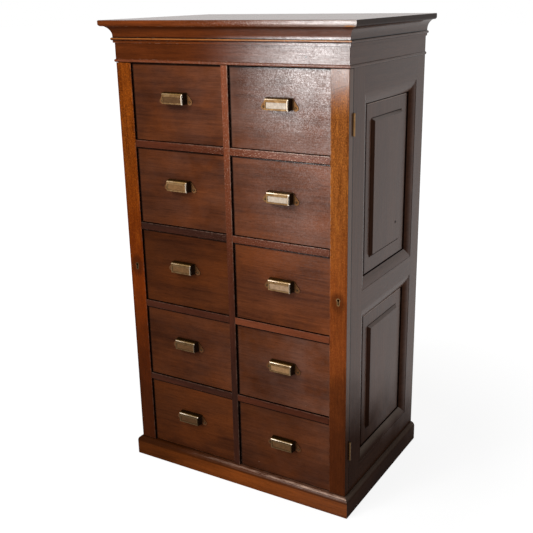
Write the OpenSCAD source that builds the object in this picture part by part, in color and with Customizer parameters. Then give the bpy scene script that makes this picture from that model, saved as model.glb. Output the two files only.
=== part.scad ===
// Mahogany filing cabinet: two columns of drawers between hinged locking flaps.
// Sizes are in millimetres. In the modules y = 0 is the flaps' front face, and the
// last lines move the whole cabinet so that its origin is the middle of its footprint.

/* [Carcass] */
// Width across the sides
body_w = 660; // [600:1:760]
// Depth from the flaps' front to the back
body_d = 460; // [440:1:560]
// Height from the floor to the top
total_h = 1237; // [1100:1:1400]
// Thickness of the framed sides and of the frieze
side_t = 20; // [18:0.5:24]
// Thickness of the back boards
back_t = 12; // [8:0.5:16]
// Distance of the back boards from the rear edge of the sides
back_inset = 2; // [0:0.5:8]
// Number of back boards
back_count = 6; // [4:1:8]
// Length of the tongue between two back boards
back_tongue = 4; // [2:0.5:6]
// Bevel along the edges of the back boards
back_bevel = 2; // [0.5:0.5:4]
// Thickness of the bottom board and of the sub-top
board_t = 18; // [12:0.5:22]
// Height of the sub-top above the drawer openings
subtop_up = 3; // [1:0.5:8]
// Thickness of the partition between the drawer columns
divider_t = 18; // [12:0.5:20]

/* [Top and cornice] */
// Thickness of the top board
top_t = 15; // [12:0.5:22]
// Overhang of the top board at each side
top_side_over = 28; // [20:0.5:40]
// Overhang of the top board at the front
top_front_over = 29; // [20:0.5:40]
// Rounding of the top board's upper edge
top_upper_r = 3; // [1:0.5:5]
// Rounding of the top board's lower edge
top_lower_r = 6; // [2:0.5:7]
// Height of the cornice below the top board
cornice_h = 41; // [34:0.5:60]
// Projection of the cornice's hollow at its top
cove_out = 18.5; // [12:0.5:20]
// Height of the cornice's hollow
cove_drop = 24; // [16:0.5:26]
// Projection of the flat band under the hollow
band_out = 3.5; // [1:0.5:6]
// Radius of the bead on that band
bead_r = 3.5; // [2:0.5:4]
// Projection of the bead's centre
bead_out = 4.2; // [3:0.1:6]
// Height of the bead's centre above the cornice's lower edge
bead_up = 9.5; // [5:0.5:12]
// Height of the frieze
frieze_h = 48; // [30:0.5:70]
// Radius of the bead along the frieze's lower edge
astragal_r = 4; // [2:0.5:6]
// Depth of that bead's centre behind the frieze's face
astragal_sink = 0.6; // [0:0.1:1]

/* [Plinth] */
// Height of the plinth
plinth_h = 55; // [44:0.5:90]
// Projection of the plinth beyond the carcass
plinth_out = 11.5; // [6:0.5:16]
// Thickness of the plinth boards
plinth_t = 22; // [18:0.5:28]
// Height of the plinth's upright face, below its rounded top
plinth_face_h = 42; // [30:0.5:43]
// Radius of the plinth's rounded top
plinth_r = 13.6; // [13:0.1:18]
// Width and height of the bearers under the bottom board
bearer = 25; // [15:1:30]

/* [Side panels] */
// Width of the sides' front stiles
front_stile_w = 60; // [45:0.5:80]
// Width of the sides' rear stiles
rear_stile_w = 54.5; // [40:0.5:80]
// Height of the sides' top rails
top_rail_h = 59; // [45:0.5:90]
// Height of the sides' middle rails
mid_rail_h = 50.5; // [40:0.5:90]
// Height of the sides' bottom rails
bottom_rail_h = 54.5; // [40:0.5:90]
// Height of the middle rails above the plinth
mid_rail_up = 486; // [380:1:560]
// Depth of the panels' flat margin below the frame
panel_sink = 12.5; // [9:0.5:13]
// Thickness of the panels at their margin
panel_t = 5; // [4:0.5:6]
// Depth that the panels reach into the frame
panel_tongue = 6; // [4:0.5:10]
// Width of the panels' flat margin inside the moulding
panel_margin = 40; // [15:0.5:46]
// Width of the bevel round the raised field
field_bevel = 6.5; // [4:0.5:16]
// Height of the raised field above the margin
field_rise = 7; // [2:0.5:8]
// Width of the moulding round each panel
moulding_w = 28.5; // [18:0.5:34]
// Width of the square at the moulding's outer edge
moulding_square = 1.5; // [1:0.5:4]
// Depth of the small step at the moulding's outer edge
moulding_step = 0.75; // [0.5:0.25:2]
// Height of the moulding's inner edge above the panel's margin
moulding_quirk = 2.5; // [1:0.5:5.5]
// Radius of the moulding's round
moulding_r = 60; // [40:1:120]

/* [Front frame] */
// Width of each flap
flap_w = 46.5; // [40:0.5:60]
// Thickness of the flaps
flap_t = 21; // [18:0.5:28]
// Gap above, below and behind the flaps
flap_gap = 1; // [0.6:0.1:2]
// Distance of the rails and the muntin behind the flaps' front
rail_recess = 0.5; // [0:0.5:6]
// Height of the drawer rails
rail_h = 18.7; // [14:0.1:26]
// Depth of the drawer rails
rail_d = 60; // [50:1:80]
// Width of the muntin between the columns
muntin_w = 18.8; // [16:0.2:26]
// Depth of the muntin
muntin_d = 36; // [25:1:45]
// Depth of the posts behind the flaps
post_d = 40; // [30:1:46]
// Distance of the posts behind the flaps' inner edges
post_back = 0.5; // [0.2:0.1:1.5]
// Length of the rails' tenons in the posts
post_tenon = 14; // [8:0.5:18]
// Length of the rails' tenons in the muntin
muntin_tenon = 5; // [3:0.5:7]
// Height of the tenons
tenon_h = 8; // [5:0.5:12]
// Rounding of the arrises of the front
arris_r = 1.2; // [0.5:0.1:2]

/* [Drawers] */
// Number of drawers in each column
rows = 5; // [3:1:5]
// Height of the uppermost and of the lowest drawer opening
end_opening_h = 196.5; // [180:0.5:215]
// Distance of the drawer fronts behind the flaps' front
drawer_recess = 5.5; // [4:0.5:12]
// Room behind a closed drawer
drawer_back_gap = 21; // [8:1:120]
// Thickness of the drawer fronts
drawer_front_t = 22; // [18:0.5:26]
// Thickness of the drawer sides and backs
drawer_side_t = 10; // [8:0.5:12]
// Thickness of the drawer bottoms
drawer_bottom_t = 6; // [4:0.5:8]
// Height of the drawer bottoms above the sides' lower edges
drawer_bottom_up = 10; // [8:0.5:16]
// Depth of the grooves for the drawer bottoms
drawer_groove = 5; // [3:0.5:6]
// Distance of the drawer sides' upper edges below the front's
drawer_side_drop = 3; // [1:0.5:8]
// Gap above a drawer front
drawer_gap_top = 1.5; // [0.8:0.1:3]
// Gap below a drawer front
drawer_gap_bottom = 0.8; // [0.4:0.1:2]
// Gap between a drawer and the muntin
drawer_gap_muntin = 2.2; // [1:0.1:3]
// Gap between a drawer and the flap beside it
drawer_gap_flap = 1; // [0.5:0.1:2]
// Number of dovetails at each front corner
front_tails = 4; // [3:1:5]
// Number of dovetails at each rear corner
rear_tails = 3; // [2:1:4]
// Width of a dovetail at its root
tail_w = 26; // [16:0.5:30]
// Wood left in front of the dovetails
tail_lap = 6; // [4:0.5:8]
// Run of a dovetail's slope for one of rise
tail_slope = 6; // [5:0.5:8]
// Width of the drawer runners under a drawer side
runner_lip = 20; // [14:0.5:30]
// Height of the guides beside the drawers
guide_h = 30; // [15:1:60]
// Gap between a drawer side and its guide
guide_gap = 1; // [0.5:0.1:2]
// Length, depth and height of a drawer stop
stop_size = [40, 14, 6];
// Distance of the drawer stops from the drawer's ends
stop_in = 45; // [25:1:80]
// Gap between a drawer front and its stops
stop_gap = 0.3; // [0.2:0.1:1]

/* [Pulls] */
// Width of the pull's front
pull_w = 62.5; // [56:0.5:66]
// Width of the pull where it meets the drawer
pull_base_w = 69; // [67:0.5:78]
// Height of the pull
pull_h = 28; // [22:0.5:36]
// Projection of the pull
pull_out = 17; // [14:0.5:24]
// Thickness of the pull's metal
pull_wall = 1.3; // [1:0.1:2]
// Rounding of the pull's upper front edge
pull_r = 5; // [3:0.5:6]
// Height of the evenly spaced pulls' centres above the rails
pull_up = 112.5; // [90:0.5:125]
// Distance of the pulls outwards from the middle of the drawer fronts
pull_aside = 2.5; // [0:0.5:10]
// Distance of each screw hole from the pull's centre
ear_x = 42.8; // [42:0.1:60]
// Distance of the screw holes below the pull's centre
ear_drop = 8.5; // [0:0.5:10]
// Radius of the rounded ears
ear_r = 7.5; // [5:0.5:10]
// Radius of the screw holes in the ears
screw_r = 1.8; // [1.2:0.1:2.4]
// Width of the label frame's side and lower bars
label_bar = 3; // [2.5:0.5:6]
// Width of the label frame's upper bar
label_head = 4.5; // [2.5:0.5:6]
// Distance of the label frame from the edges of the pull's front
label_edge = 1; // [0.5:0.5:3]
// Thickness of the slot for the card
card_slot = 0.8; // [0.5:0.1:1.2]
// Depth of the card slot behind the bars
card_grip = 1.5; // [1:0.5:2]
// Thickness of the bars in front of the card
label_lip = 1; // [0.6:0.1:1.6]

/* [Hinges] */
// Length of a hinge
hinge_len = 52; // [40:1:76]
// Distance of the hinges from the flap's ends
hinge_inset = 97; // [60:1:200]
// Width of a hinge leaf
leaf_w = 15; // [10:0.5:18]
// Thickness of a hinge leaf
leaf_t = 1.5; // [1:0.1:2]
// Radius of the hinge knuckles
knuckle_r = 3; // [2.6:0.1:4]
// Distance of the hinge pins outside the sides
hinge_out = 2; // [1.2:0.1:2.6]
// Radius of the hinge pins
pin_r = 1.4; // [1:0.1:1.6]
// Running clearance round the hinge pins
pin_clear = 0.05; // [0.02:0.01:0.1]
// Number of knuckles in a hinge
knuckles = 5; // [3:2:7]
// Gap between two knuckles
knuckle_gap = 0.4; // [0.3:0.1:0.6]

/* [Locks] */
// Height of the keyholes above the plinth
keyhole_up = 536; // [400:1:640]
// Radius of the round part of the keyhole
key_r = 3.2; // [2.4:0.1:3.6]
// Width of the keyhole's slot
key_slot_w = 3; // [2:0.1:4]
// Depth of the keyhole's slot below its round part
key_slot_h = 11; // [8:0.5:13]
// Width of the rim round the keyhole
key_rim = 2.2; // [1.5:0.1:3]
// Thickness of the rim
key_rim_t = 2; // [1:0.5:3]
// Projection of the rim from the flap
key_rim_out = 0.3; // [0.1:0.1:0.6]
// Width of the lock
lock_w = 32; // [28:0.5:36]
// Height of the lock below the keyhole's centre
lock_down = 22; // [18:0.5:30]
// Height of the lock above the keyhole's centre
lock_up = 20; // [18:0.5:30]
// Depth of the lock
lock_d = 12; // [11:0.5:16]
// Length, thickness and height of the bolt
bolt_size = [12, 3.4, 6];
// Travel of the bolt
bolt_throw = 6; // [5:0.5:8]
// Height of the bolt's centre above the keyhole's centre
bolt_up = 8; // [7:0.5:12]
// Gap between the bolt and the staple when the lock is open
bolt_back = 2; // [1.6:0.1:3]
// Thickness and height of the staple's tongue
staple_size = [2.5, 10];
// Reach of the staple's tongue into the lock
staple_reach = 9; // [8.5:0.5:10]
// Width and height of the staple's plate
plate_size = [15, 26];
// Distance of the staple from the post's inner face
staple_in = 13; // [9:0.5:16]

/* [Hidden] */
$fn = 64;
glue = 0.1;
fit = 0.2;
over = 1;

mahogany = [0.36, 0.17, 0.09];
mahogany_light = [0.50, 0.25, 0.10];
mahogany_side = [0.30, 0.20, 0.17];
deal = [0.66, 0.50, 0.32];
oak = [0.62, 0.46, 0.28];
brass = [0.66, 0.54, 0.31];

half_w = body_w / 2;
inner_w = half_w - side_t;
top_z = total_h - top_t;
cornice_z = top_z - cornice_h;
frieze_z = cornice_z - frieze_h;
subtop_z = frieze_z + subtop_up;
front_y = (top_front_over - body_d) / 2;
back_y = body_d - back_inset - back_t;
carcass_y = flap_t + flap_gap;
flap_z = [plinth_h + flap_gap, frieze_z - flap_gap];
flap_x = half_w - flap_w;
post_x = flap_x + post_back;
post_y = carcass_y + post_d;
rail_y = rail_recess + rail_d;
muntin_y = rail_recess + muntin_d;
row_pitch = (frieze_z - plinth_h - 2 * end_opening_h - rail_h) / (rows - 2);
key_x = half_w - flap_w / 2;
key_z = plinth_h + keyhole_up;

drawer_x = max(muntin_w, divider_t) / 2 + drawer_gap_muntin;
drawer_w = flap_x - drawer_gap_flap - drawer_x;
drawer_len = back_y - drawer_recess - drawer_back_gap;
bottom_top = drawer_bottom_up + drawer_bottom_t;
guide_x = drawer_x + drawer_w + guide_gap;

panel_y = [carcass_y + front_stile_w, body_d - rear_stile_w];
mid_rail_z = plinth_h + mid_rail_up;
panel_z = [[plinth_h + bottom_rail_h, mid_rail_z], [mid_rail_z + mid_rail_h, frieze_z - top_rail_h]];
margin_x = half_w - panel_sink;
groove_x = margin_x - panel_t;

hinge_x = half_w + hinge_out;
hinge_y = flap_t + flap_gap / 2;
hinge_z = [flap_z[0] + hinge_inset, flap_z[1] - hinge_inset - hinge_len];
bolt_z = key_z + bolt_up;
staple_x = post_x + staple_in;

columns = ["left", "right"];
drawer_pieces = ["front", "box", "pull"];

// Rails, and with them the pulls, stand a pitch apart; the end openings have a height of their own
function rail_top(row) = plinth_h + end_opening_h + rail_h + (rows - 1 - row) * row_pitch;
function row_z(row) = row == rows ? plinth_h : rail_top(row);
function opening_h(row) = row == 1 || row == rows ? end_opening_h : row_pitch - rail_h;
function drawer_h(row) = opening_h(row) - drawer_gap_top - drawer_gap_bottom;
function side_h(row) = drawer_h(row) - drawer_side_drop;
function drawer_node(column, row, piece) = str("drawer_", column, "_", row, "_", piece);

// Shared shapes

module block(low, high) {
    translate(low) cube(high - low);
}

// A profile of y and z drawn out along x
module along_x(from, to) {
    translate([from, 0, 0]) rotate([90, 0, 90]) linear_extrude(to - from) children();
}

// A profile of x and z drawn out along y
module along_y(from, to) {
    translate([0, to, 0]) rotate([90, 0, 0]) linear_extrude(to - from) children();
}

module left_of() {
    mirror([1, 0, 0]) children();
}

module both_sides() {
    children();
    left_of() children();
}

// A rectangle whose two corners at its near side are rounded
module eased(depth, height, r) {
    translate([r, 0]) square([depth - r, height]);
    translate([0, r]) square([depth, height - 2 * r]);
    translate([r, r]) circle(r);
    translate([r, height - r]) circle(r);
}

// A profile of projection and height that runs round the front and both sides,
// mitred at the front corners: inner is its depth behind the face, outer its projection
module trim(z, inner, outer) {
    near = half_w + outer - glue;
    far = half_w - inner - glue;
    translate([0, 0, z]) intersection() {
        along_x(-half_w - outer, half_w + outer) mirror([1, 0]) children();
        linear_extrude(total_h) polygon([[-near, -outer], [near, -outer], [far, inner], [-far, inner]]);
    }
    translate([0, 0, z]) both_sides() intersection() {
        along_y(-outer, body_d) translate([half_w, 0]) children();
        linear_extrude(total_h) polygon([[half_w + outer, -outer], [half_w + outer, body_d],
                                         [half_w - inner, body_d], [half_w - inner, inner]]);
    }
}

// Top, cornice and frieze

// Section of a board with one worked edge, seen from its end
module nosing(depth) {
    translate([top_lower_r, 0]) square([depth - top_lower_r, top_t]);
    translate([0, top_lower_r]) square([depth, top_t - top_lower_r - top_upper_r]);
    translate([top_upper_r, top_lower_r]) square([depth - top_upper_r, top_t - top_lower_r]);
    translate([top_lower_r, top_lower_r]) circle(top_lower_r);
    translate([top_upper_r, top_t - top_upper_r]) circle(top_upper_r);
}

module top_board() {
    side = half_w + top_side_over;
    color(mahogany) translate([0, 0, top_z]) intersection() {
        along_x(-side, side) translate([-top_front_over, 0]) nosing(body_d + top_front_over);
        along_y(-top_front_over, body_d) {
            translate([-side, 0]) nosing(side);
            mirror([1, 0]) translate([-side, 0]) nosing(side);
        }
    }
}

// Section of the hollow, from the band below it out to the top board
module cove_section() {
    rise = cove_drop;
    run = cove_out - band_out;
    r = (run * run + rise * rise) / (2 * run);
    difference() {
        translate([-side_t, cornice_h - rise]) square([side_t + cove_out, rise]);
        translate([band_out + r, cornice_h - rise]) circle(r);
    }
}

module cornice_section() {
    cove_section();
    translate([-side_t, 0]) square([side_t + band_out, cornice_h - cove_drop]);
    translate([bead_out, bead_up]) circle(bead_r);
}

module cornice() {
    color(mahogany) trim(cornice_z, side_t, max(cove_out, bead_out + bead_r)) cornice_section();
}

module frieze() {
    color(mahogany) trim(frieze_z, side_t, astragal_r) {
        translate([-side_t, 0]) square([side_t, frieze_h]);
        translate([-astragal_sink, astragal_r]) circle(astragal_r);
    }
}

// Sides

// Grooves of a hinge in the wood at one side of its pin: the leaf's housing and room for the knuckles
module hinge_housing(leaf_y) {
    for (z = hinge_z) {
        block([half_w - leaf_w, leaf_y, z - glue], [half_w + over, leaf_y + leaf_t, z + hinge_len + glue]);
        translate([hinge_x, hinge_y, z - over])
            cylinder(r = knuckle_r + knuckle_gap, h = hinge_len + 2 * over);
    }
}

module side_stile(from, to, groove_from) {
    difference() {
        block([inner_w, from, plinth_h], [half_w, to, frieze_z]);
        block([groove_x - fit, groove_from, plinth_h - over],
              [margin_x + fit, groove_from + panel_tongue + fit, frieze_z + over]);
        hinge_housing(carcass_y);
    }
}

// A rail with a stub tenon at each end and a groove along each edge that a panel enters
module side_rail(low, high, grooves) {
    difference() {
        union() {
            block([inner_w, panel_y[0] + glue, low], [half_w, panel_y[1] - glue, high]);
            block([groove_x, panel_y[0] - panel_tongue, low + panel_tongue + over],
                  [margin_x, panel_y[1] + panel_tongue, high - panel_tongue - over]);
        }
        for (z = grooves)
            block([groove_x - fit, panel_y[0] - panel_tongue - over, z - panel_tongue - fit],
                  [margin_x + fit, panel_y[1] + panel_tongue + over, z + panel_tongue + fit]);
    }
}

module side_frame() {
    side_stile(carcass_y, panel_y[0], panel_y[0] - panel_tongue - fit);
    side_stile(panel_y[1], body_d, panel_y[1]);
    side_rail(plinth_h, panel_z[0][0], [panel_z[0][0]]);
    side_rail(panel_z[0][1], panel_z[1][0], [panel_z[0][1], panel_z[1][0]]);
    side_rail(panel_z[1][1], frieze_z, [panel_z[1][1]]);
}

module left_side_frame() {
    color(mahogany_side) left_of() side_frame();
}

module right_side_frame() {
    color(mahogany_side) side_frame();
}

// Section through a raised field between two edges, with its bevels
module field_section(from, to) {
    polygon([[from, 0], [from + field_bevel, field_rise], [to - field_bevel, field_rise], [to, 0]]);
}

module fielded_panel(z) {
    edge = moulding_w + panel_margin;
    block([groove_x, panel_y[0] - panel_tongue, z[0] - panel_tongue],
          [margin_x, panel_y[1] + panel_tongue, z[1] + panel_tongue]);
    intersection() {
        translate([0, 0, z[0] - over]) linear_extrude(z[1] - z[0] + 2 * over) translate([margin_x, 0])
            mirror([1, -1]) field_section(panel_y[0] + edge, panel_y[1] - edge);
        along_y(panel_y[0], panel_y[1]) translate([margin_x, 0])
            mirror([1, -1]) field_section(z[0] + edge, z[1] - edge);
    }
}

module side_panels() {
    color(mahogany_side) both_sides() for (z = panel_z) fielded_panel(z);
}

// Section of the panel moulding: distance from the frame and height above the panel's margin.
// The round falls from the outer square to the step beside the panel.
module moulding_section() {
    start = [moulding_square, panel_sink - moulding_step];
    end = [moulding_w, moulding_quirk];
    chord = end - start;
    half = norm(chord) / 2;
    lean = atan2(chord[1], chord[0]) + 90;
    centre = (start + end) / 2 - sqrt(moulding_r * moulding_r - half * half) * [cos(lean), sin(lean)];
    square([moulding_square, panel_sink]);
    square([moulding_w, moulding_quirk]);
    polygon([[0, 0], [0, start[1]], start, end, [moulding_w, 0]]);
    intersection() {
        translate([moulding_square, moulding_quirk]) square(end - start + [0, 2 * (start[1] - end[1])]);
        translate(centre) circle(moulding_r, $fn = 128);
    }
}

// Two lengths of moulding along y, at the lower and upper edge of an opening
module mouldings_along_y(z) {
    plan = [[panel_y[0] + glue, 0], [panel_y[1] - glue, 0],
            [panel_y[1] - moulding_w - glue, moulding_w], [panel_y[0] + moulding_w + glue, moulding_w]];
    for (edge = [0, 1])
        translate([0, 0, z[edge]]) mirror([0, 0, edge]) intersection() {
            along_y(panel_y[0], panel_y[1]) translate([margin_x, 0]) mirror([1, -1]) moulding_section();
            along_x(margin_x - over, half_w + over) polygon(plan);
        }
}

// Two upright lengths of moulding, at the front and rear edge of an opening
module mouldings_along_z(z) {
    plan = [[0, z[0] + glue], [0, z[1] - glue],
            [moulding_w, z[1] - moulding_w - glue], [moulding_w, z[0] + moulding_w + glue]];
    for (edge = [0, 1])
        translate([0, panel_y[edge], 0]) mirror([0, edge, 0]) intersection() {
            translate([margin_x, 0, z[0]]) linear_extrude(z[1] - z[0]) mirror([1, -1]) moulding_section();
            along_x(margin_x - over, half_w + over) polygon(plan);
        }
}

module panel_mouldings() {
    color(mahogany_side) both_sides() for (z = panel_z) {
        mouldings_along_y(z);
        mouldings_along_z(z);
    }
}

// Inside of the carcass

module back_boards() {
    pitch = 2 * inner_w / back_count;
    tongue_y = [back_y + back_t / 3, back_y + 2 * back_t / 3];
    color(deal) for (i = [0:back_count - 1]) {
        low = -inner_w + i * pitch + glue;
        high = -inner_w + (i + 1) * pitch - glue;
        difference() {
            translate([0, 0, plinth_h]) linear_extrude(top_z - plinth_h) union() {
                polygon([[low, back_y], [high, back_y], [high, back_y + back_t - back_bevel],
                         [high - back_bevel, back_y + back_t], [low + back_bevel, back_y + back_t],
                         [low, back_y + back_t - back_bevel]]);
                if (i < back_count - 1)
                    translate([high - over, tongue_y[0]])
                        square([over + back_tongue, tongue_y[1] - tongue_y[0]]);
            }
            if (i > 0)
                block([low - over, tongue_y[0] - fit, plinth_h - over],
                      [low + back_tongue + fit, tongue_y[1] + fit, top_z + over]);
        }
    }
}

module bottom_board() {
    edge = half_w + plinth_out - plinth_t;
    color(deal) block([-edge, plinth_t - plinth_out, plinth_h - board_t],
                      [edge, body_d - plinth_t, plinth_h]);
}

module sub_top() {
    color(deal) block([-inner_w, side_t, subtop_z], [inner_w, back_y, subtop_z + board_t]);
}

module centre_divider() {
    color(deal) block([-divider_t / 2, muntin_y, plinth_h], [divider_t / 2, back_y, subtop_z]);
}

// Tenons of the rails in a column, with room round them where they are used as a cutter
module rail_tenons(room) {
    for (row = [1:rows - 1]) {
        z = row_z(row) - rail_h / 2;
        block([muntin_w / 2 - muntin_tenon - room, rail_recess + muntin_d / 4 - room, z - tenon_h / 2 - room],
              [muntin_w / 2 + over, rail_recess + 3 * muntin_d / 4 + room, z + tenon_h / 2 + room]);
        block([flap_x - drawer_gap_flap - over, carcass_y + post_d / 4 - room, z - tenon_h / 2 - room],
              [post_x + post_tenon + room, carcass_y + 3 * post_d / 4 + room, z + tenon_h / 2 + room]);
    }
}

module front_muntin() {
    color(mahogany) difference() {
        translate([0, 0, plinth_h]) linear_extrude(frieze_z - plinth_h)
            translate([-muntin_w / 2, rail_recess]) mirror([1, -1]) eased(muntin_d, muntin_w, arris_r);
        both_sides() rail_tenons(glue);
    }
}

module front_posts() {
    color(mahogany) both_sides() difference() {
        block([post_x, carcass_y, plinth_h], [inner_w, post_y, subtop_z]);
        rail_tenons(glue);
        staple_plate(glue);
    }
}

module drawer_rails() {
    color(mahogany) both_sides() {
        rail_tenons(0);
        for (row = [1:rows - 1]) {
            low = row_z(row) - rail_h;
            along_x(muntin_w / 2, flap_x - drawer_gap_flap) translate([rail_recess, low])
                eased(rail_d, rail_h, arris_r);
            block([muntin_w / 2, carcass_y, low], [post_x, rail_y, low + rail_h]);
        }
    }
}

module drawer_runners() {
    lip_x = drawer_x + drawer_w - runner_lip;
    color(deal) both_sides() {
        for (row = [1:rows - 1]) {
            low = row_z(row) - rail_h;
            block([lip_x, max(rail_y, post_y), low], [inner_w, back_y, low + rail_h]);
            block([divider_t / 2, rail_y, low], [drawer_x + runner_lip, back_y, low + rail_h]);
        }
        for (row = [1:rows])
            block([guide_x, post_y, row_z(row) + glue], [inner_w, back_y, row_z(row) + guide_h]);
    }
}

module drawer_stops() {
    stop_y = drawer_recess + drawer_front_t + stop_gap;
    ends = [drawer_x + stop_in, drawer_x + drawer_w - stop_in - stop_size[0]];
    color(deal) both_sides() for (row = [1:rows], x = ends)
        translate([x, stop_y, row_z(row)]) cube(stop_size);
}

// Plinth

module plinth_section() {
    inner = plinth_t - plinth_out;
    translate([-inner, 0]) square([plinth_t, plinth_face_h]);
    translate([-inner, 0]) square([inner + plinth_out - plinth_r, plinth_h]);
    intersection() {
        translate([-inner, plinth_face_h]) square([plinth_t, plinth_h - plinth_face_h]);
        translate([plinth_out - plinth_r, plinth_face_h]) circle(plinth_r);
    }
}

module plinth() {
    color(mahogany) trim(0, plinth_t - plinth_out, plinth_out) plinth_section();
}

module plinth_bearers() {
    edge = half_w + plinth_out - plinth_t;
    low = plinth_h - board_t - bearer;
    color(deal) {
        block([-edge, body_d - plinth_t, 0], [edge, body_d, plinth_h]);
        both_sides() block([edge - bearer, plinth_t - plinth_out, low],
                           [edge, body_d - plinth_t - glue, plinth_h - board_t]);
    }
}

// Flaps, with their hinges and locks. Each is drawn at the right and mirrored to the left.

// Outline of the keyhole, grown by room
module keyhole(room) {
    circle(key_r + room);
    translate([-key_slot_w / 2 - room, -key_slot_h]) square([key_slot_w + 2 * room, key_slot_h]);
    translate([0, -key_slot_h]) circle(key_slot_w / 2 + room);
}

module at_keyhole(from, to) {
    along_y(from, to) translate([key_x, key_z]) children();
}

module flap() {
    difference() {
        translate([flap_x, 0, flap_z[0]]) linear_extrude(flap_z[1] - flap_z[0])
            mirror([1, -1]) eased(flap_t, flap_w, arris_r);
        hinge_housing(flap_t - leaf_t);
        lock_case(glue);
        at_keyhole(-over, flap_t) keyhole(0);
        at_keyhole(-over, key_rim_t - key_rim_out + glue) keyhole(key_rim + glue);
    }
}

module left_flap() {
    color(mahogany_light) left_of() flap();
}

module right_flap() {
    color(mahogany_light) flap();
}

// One leaf of each hinge of a flap. first is 0 for the carcass and 1 for the flap,
// and plate_y is where the plate starts. Knuckles alternate between the two leaves.
module hinge_leaves(first, plate_y) {
    step = hinge_len / knuckles;
    clear_r = knuckle_r + knuckle_gap;
    for (z = hinge_z) translate([0, 0, z]) difference() {
        union() {
            difference() {
                block([half_w - leaf_w + glue, plate_y, 0], [hinge_x, plate_y + leaf_t, hinge_len]);
                for (i = [1 - first:2:knuckles - 1])
                    translate([hinge_x, hinge_y, i * step - knuckle_gap / 2])
                        cylinder(r = clear_r, h = step + knuckle_gap);
            }
            for (i = [first:2:knuckles - 1])
                translate([hinge_x, hinge_y, i * step + knuckle_gap / 2])
                    cylinder(r = knuckle_r, h = step - knuckle_gap);
        }
        translate([hinge_x, hinge_y, -over]) cylinder(r = pin_r + pin_clear, h = hinge_len + 2 * over);
    }
}

module hinge_pins() {
    for (z = hinge_z) translate([hinge_x, hinge_y, z]) cylinder(r = pin_r, h = hinge_len);
}

module left_flap_leaves() {
    color(brass) left_of() hinge_leaves(1, flap_t - leaf_t);
}

module right_flap_leaves() {
    color(brass) hinge_leaves(1, flap_t - leaf_t);
}

module carcass_leaves() {
    color(brass) both_sides() {
        hinge_leaves(0, carcass_y);
        hinge_pins();
    }
}

module escutcheon() {
    difference() {
        at_keyhole(-key_rim_out, key_rim_t - key_rim_out) keyhole(key_rim);
        at_keyhole(-over, flap_t) keyhole(0);
    }
}

module left_escutcheon() {
    color(brass) left_of() escutcheon();
}

module right_escutcheon() {
    color(brass) escutcheon();
}

module lock_case(room) {
    block([key_x - lock_w / 2 - room, flap_t - lock_d - room, key_z - lock_down - room],
          [key_x + lock_w / 2 + room, flap_t + (room > 0 ? over : 0), key_z + lock_up + room]);
}

// Space that the bolt runs in, and the mouth that takes the staple's tongue
module lock_inside() {
    tongue = staple_size[0] / 2;
    bolt_end = staple_x + tongue + bolt_back + bolt_size[0];
    middle = flap_t - lock_d / 2;
    block([staple_x + tongue + bolt_back - bolt_throw - 2 * fit, middle - bolt_size[1] / 2 - fit,
           bolt_z - bolt_size[2] / 2 - fit],
          [bolt_end + fit, middle + bolt_size[1] / 2 + fit, bolt_z + bolt_size[2] / 2 + fit]);
    block([staple_x - tongue - bolt_back, flap_t - staple_reach - over, bolt_z - staple_size[1] / 2 - over],
          [staple_x + tongue + bolt_back, flap_t + over, bolt_z + staple_size[1] / 2 + over]);
}

module lock() {
    difference() {
        lock_case(0);
        lock_inside();
        at_keyhole(0, flap_t - lock_d / 4) keyhole(0);
    }
}

module left_lock() {
    color(brass) left_of() lock();
}

module right_lock() {
    color(brass) lock();
}

module bolt() {
    translate([staple_x + staple_size[0] / 2 + bolt_back, flap_t - lock_d / 2 - bolt_size[1] / 2,
               bolt_z - bolt_size[2] / 2]) cube(bolt_size);
}

module left_bolt() {
    color(brass) left_of() bolt();
}

module right_bolt() {
    color(brass) bolt();
}

module staple_plate(room) {
    half = plate_size / 2 + [room, room];
    block([staple_x - half[0], carcass_y - (room > 0 ? over : 0), bolt_z - half[1]],
          [staple_x + half[0], carcass_y + leaf_t + room, bolt_z + half[1]]);
}

// Plate on the post with a tongue whose eye takes the bolt
module lock_staples() {
    eye = [bolt_size[1] / 2 + 2 * fit, bolt_size[2] / 2 + 2 * fit];
    middle = flap_t - lock_d / 2;
    color(brass) both_sides() {
        staple_plate(0);
        difference() {
            block([staple_x - staple_size[0] / 2, flap_t - staple_reach, bolt_z - staple_size[1] / 2],
                  [staple_x + staple_size[0] / 2, carcass_y + leaf_t / 2, bolt_z + staple_size[1] / 2]);
            block([staple_x - staple_size[0], middle - eye[0], bolt_z - eye[1]],
                  [staple_x + staple_size[0], middle + eye[0], bolt_z + eye[1]]);
        }
    }
}

// Drawers, drawn with the front's lower near corner at the origin

module at_drawer(column, row) {
    place = [drawer_x, drawer_recess, row_z(row) + drawer_gap_bottom];
    if (column == "left") left_of() translate(place) children();
    else translate(place) children();
}

// A row of dovetails between two heights: root is the shoulder's y and tip the tails' ends
module tails(root, tip, low, high, count, room) {
    pitch = (high - low) / count;
    flare = abs(tip - root) / tail_slope;
    dir = sign(tip - root);
    for (i = [0:count - 1]) {
        z = low + (i + 0.5) * pitch;
        polygon([[root - dir * over, z - tail_w / 2 - room], [root, z - tail_w / 2 - room],
                 [tip + dir * room, z - tail_w / 2 - flare - room],
                 [tip + dir * room, z + tail_w / 2 + flare + room],
                 [root, z + tail_w / 2 + room], [root - dir * over, z + tail_w / 2 + room]]);
    }
}

module front_dovetails(row, room) {
    tails(drawer_front_t, tail_lap, 0, side_h(row), front_tails, room);
}

module rear_dovetails(row, room) {
    tails(drawer_len - drawer_side_t - glue, drawer_len, bottom_top, side_h(row), rear_tails, room);
}

// Runs a cutter or tails into both ends of the drawer, as thick as the sides
module at_both_ends(room) {
    along_x(-room, drawer_side_t + room) children();
    along_x(drawer_w - drawer_side_t - room, drawer_w + room) children();
}

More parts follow.
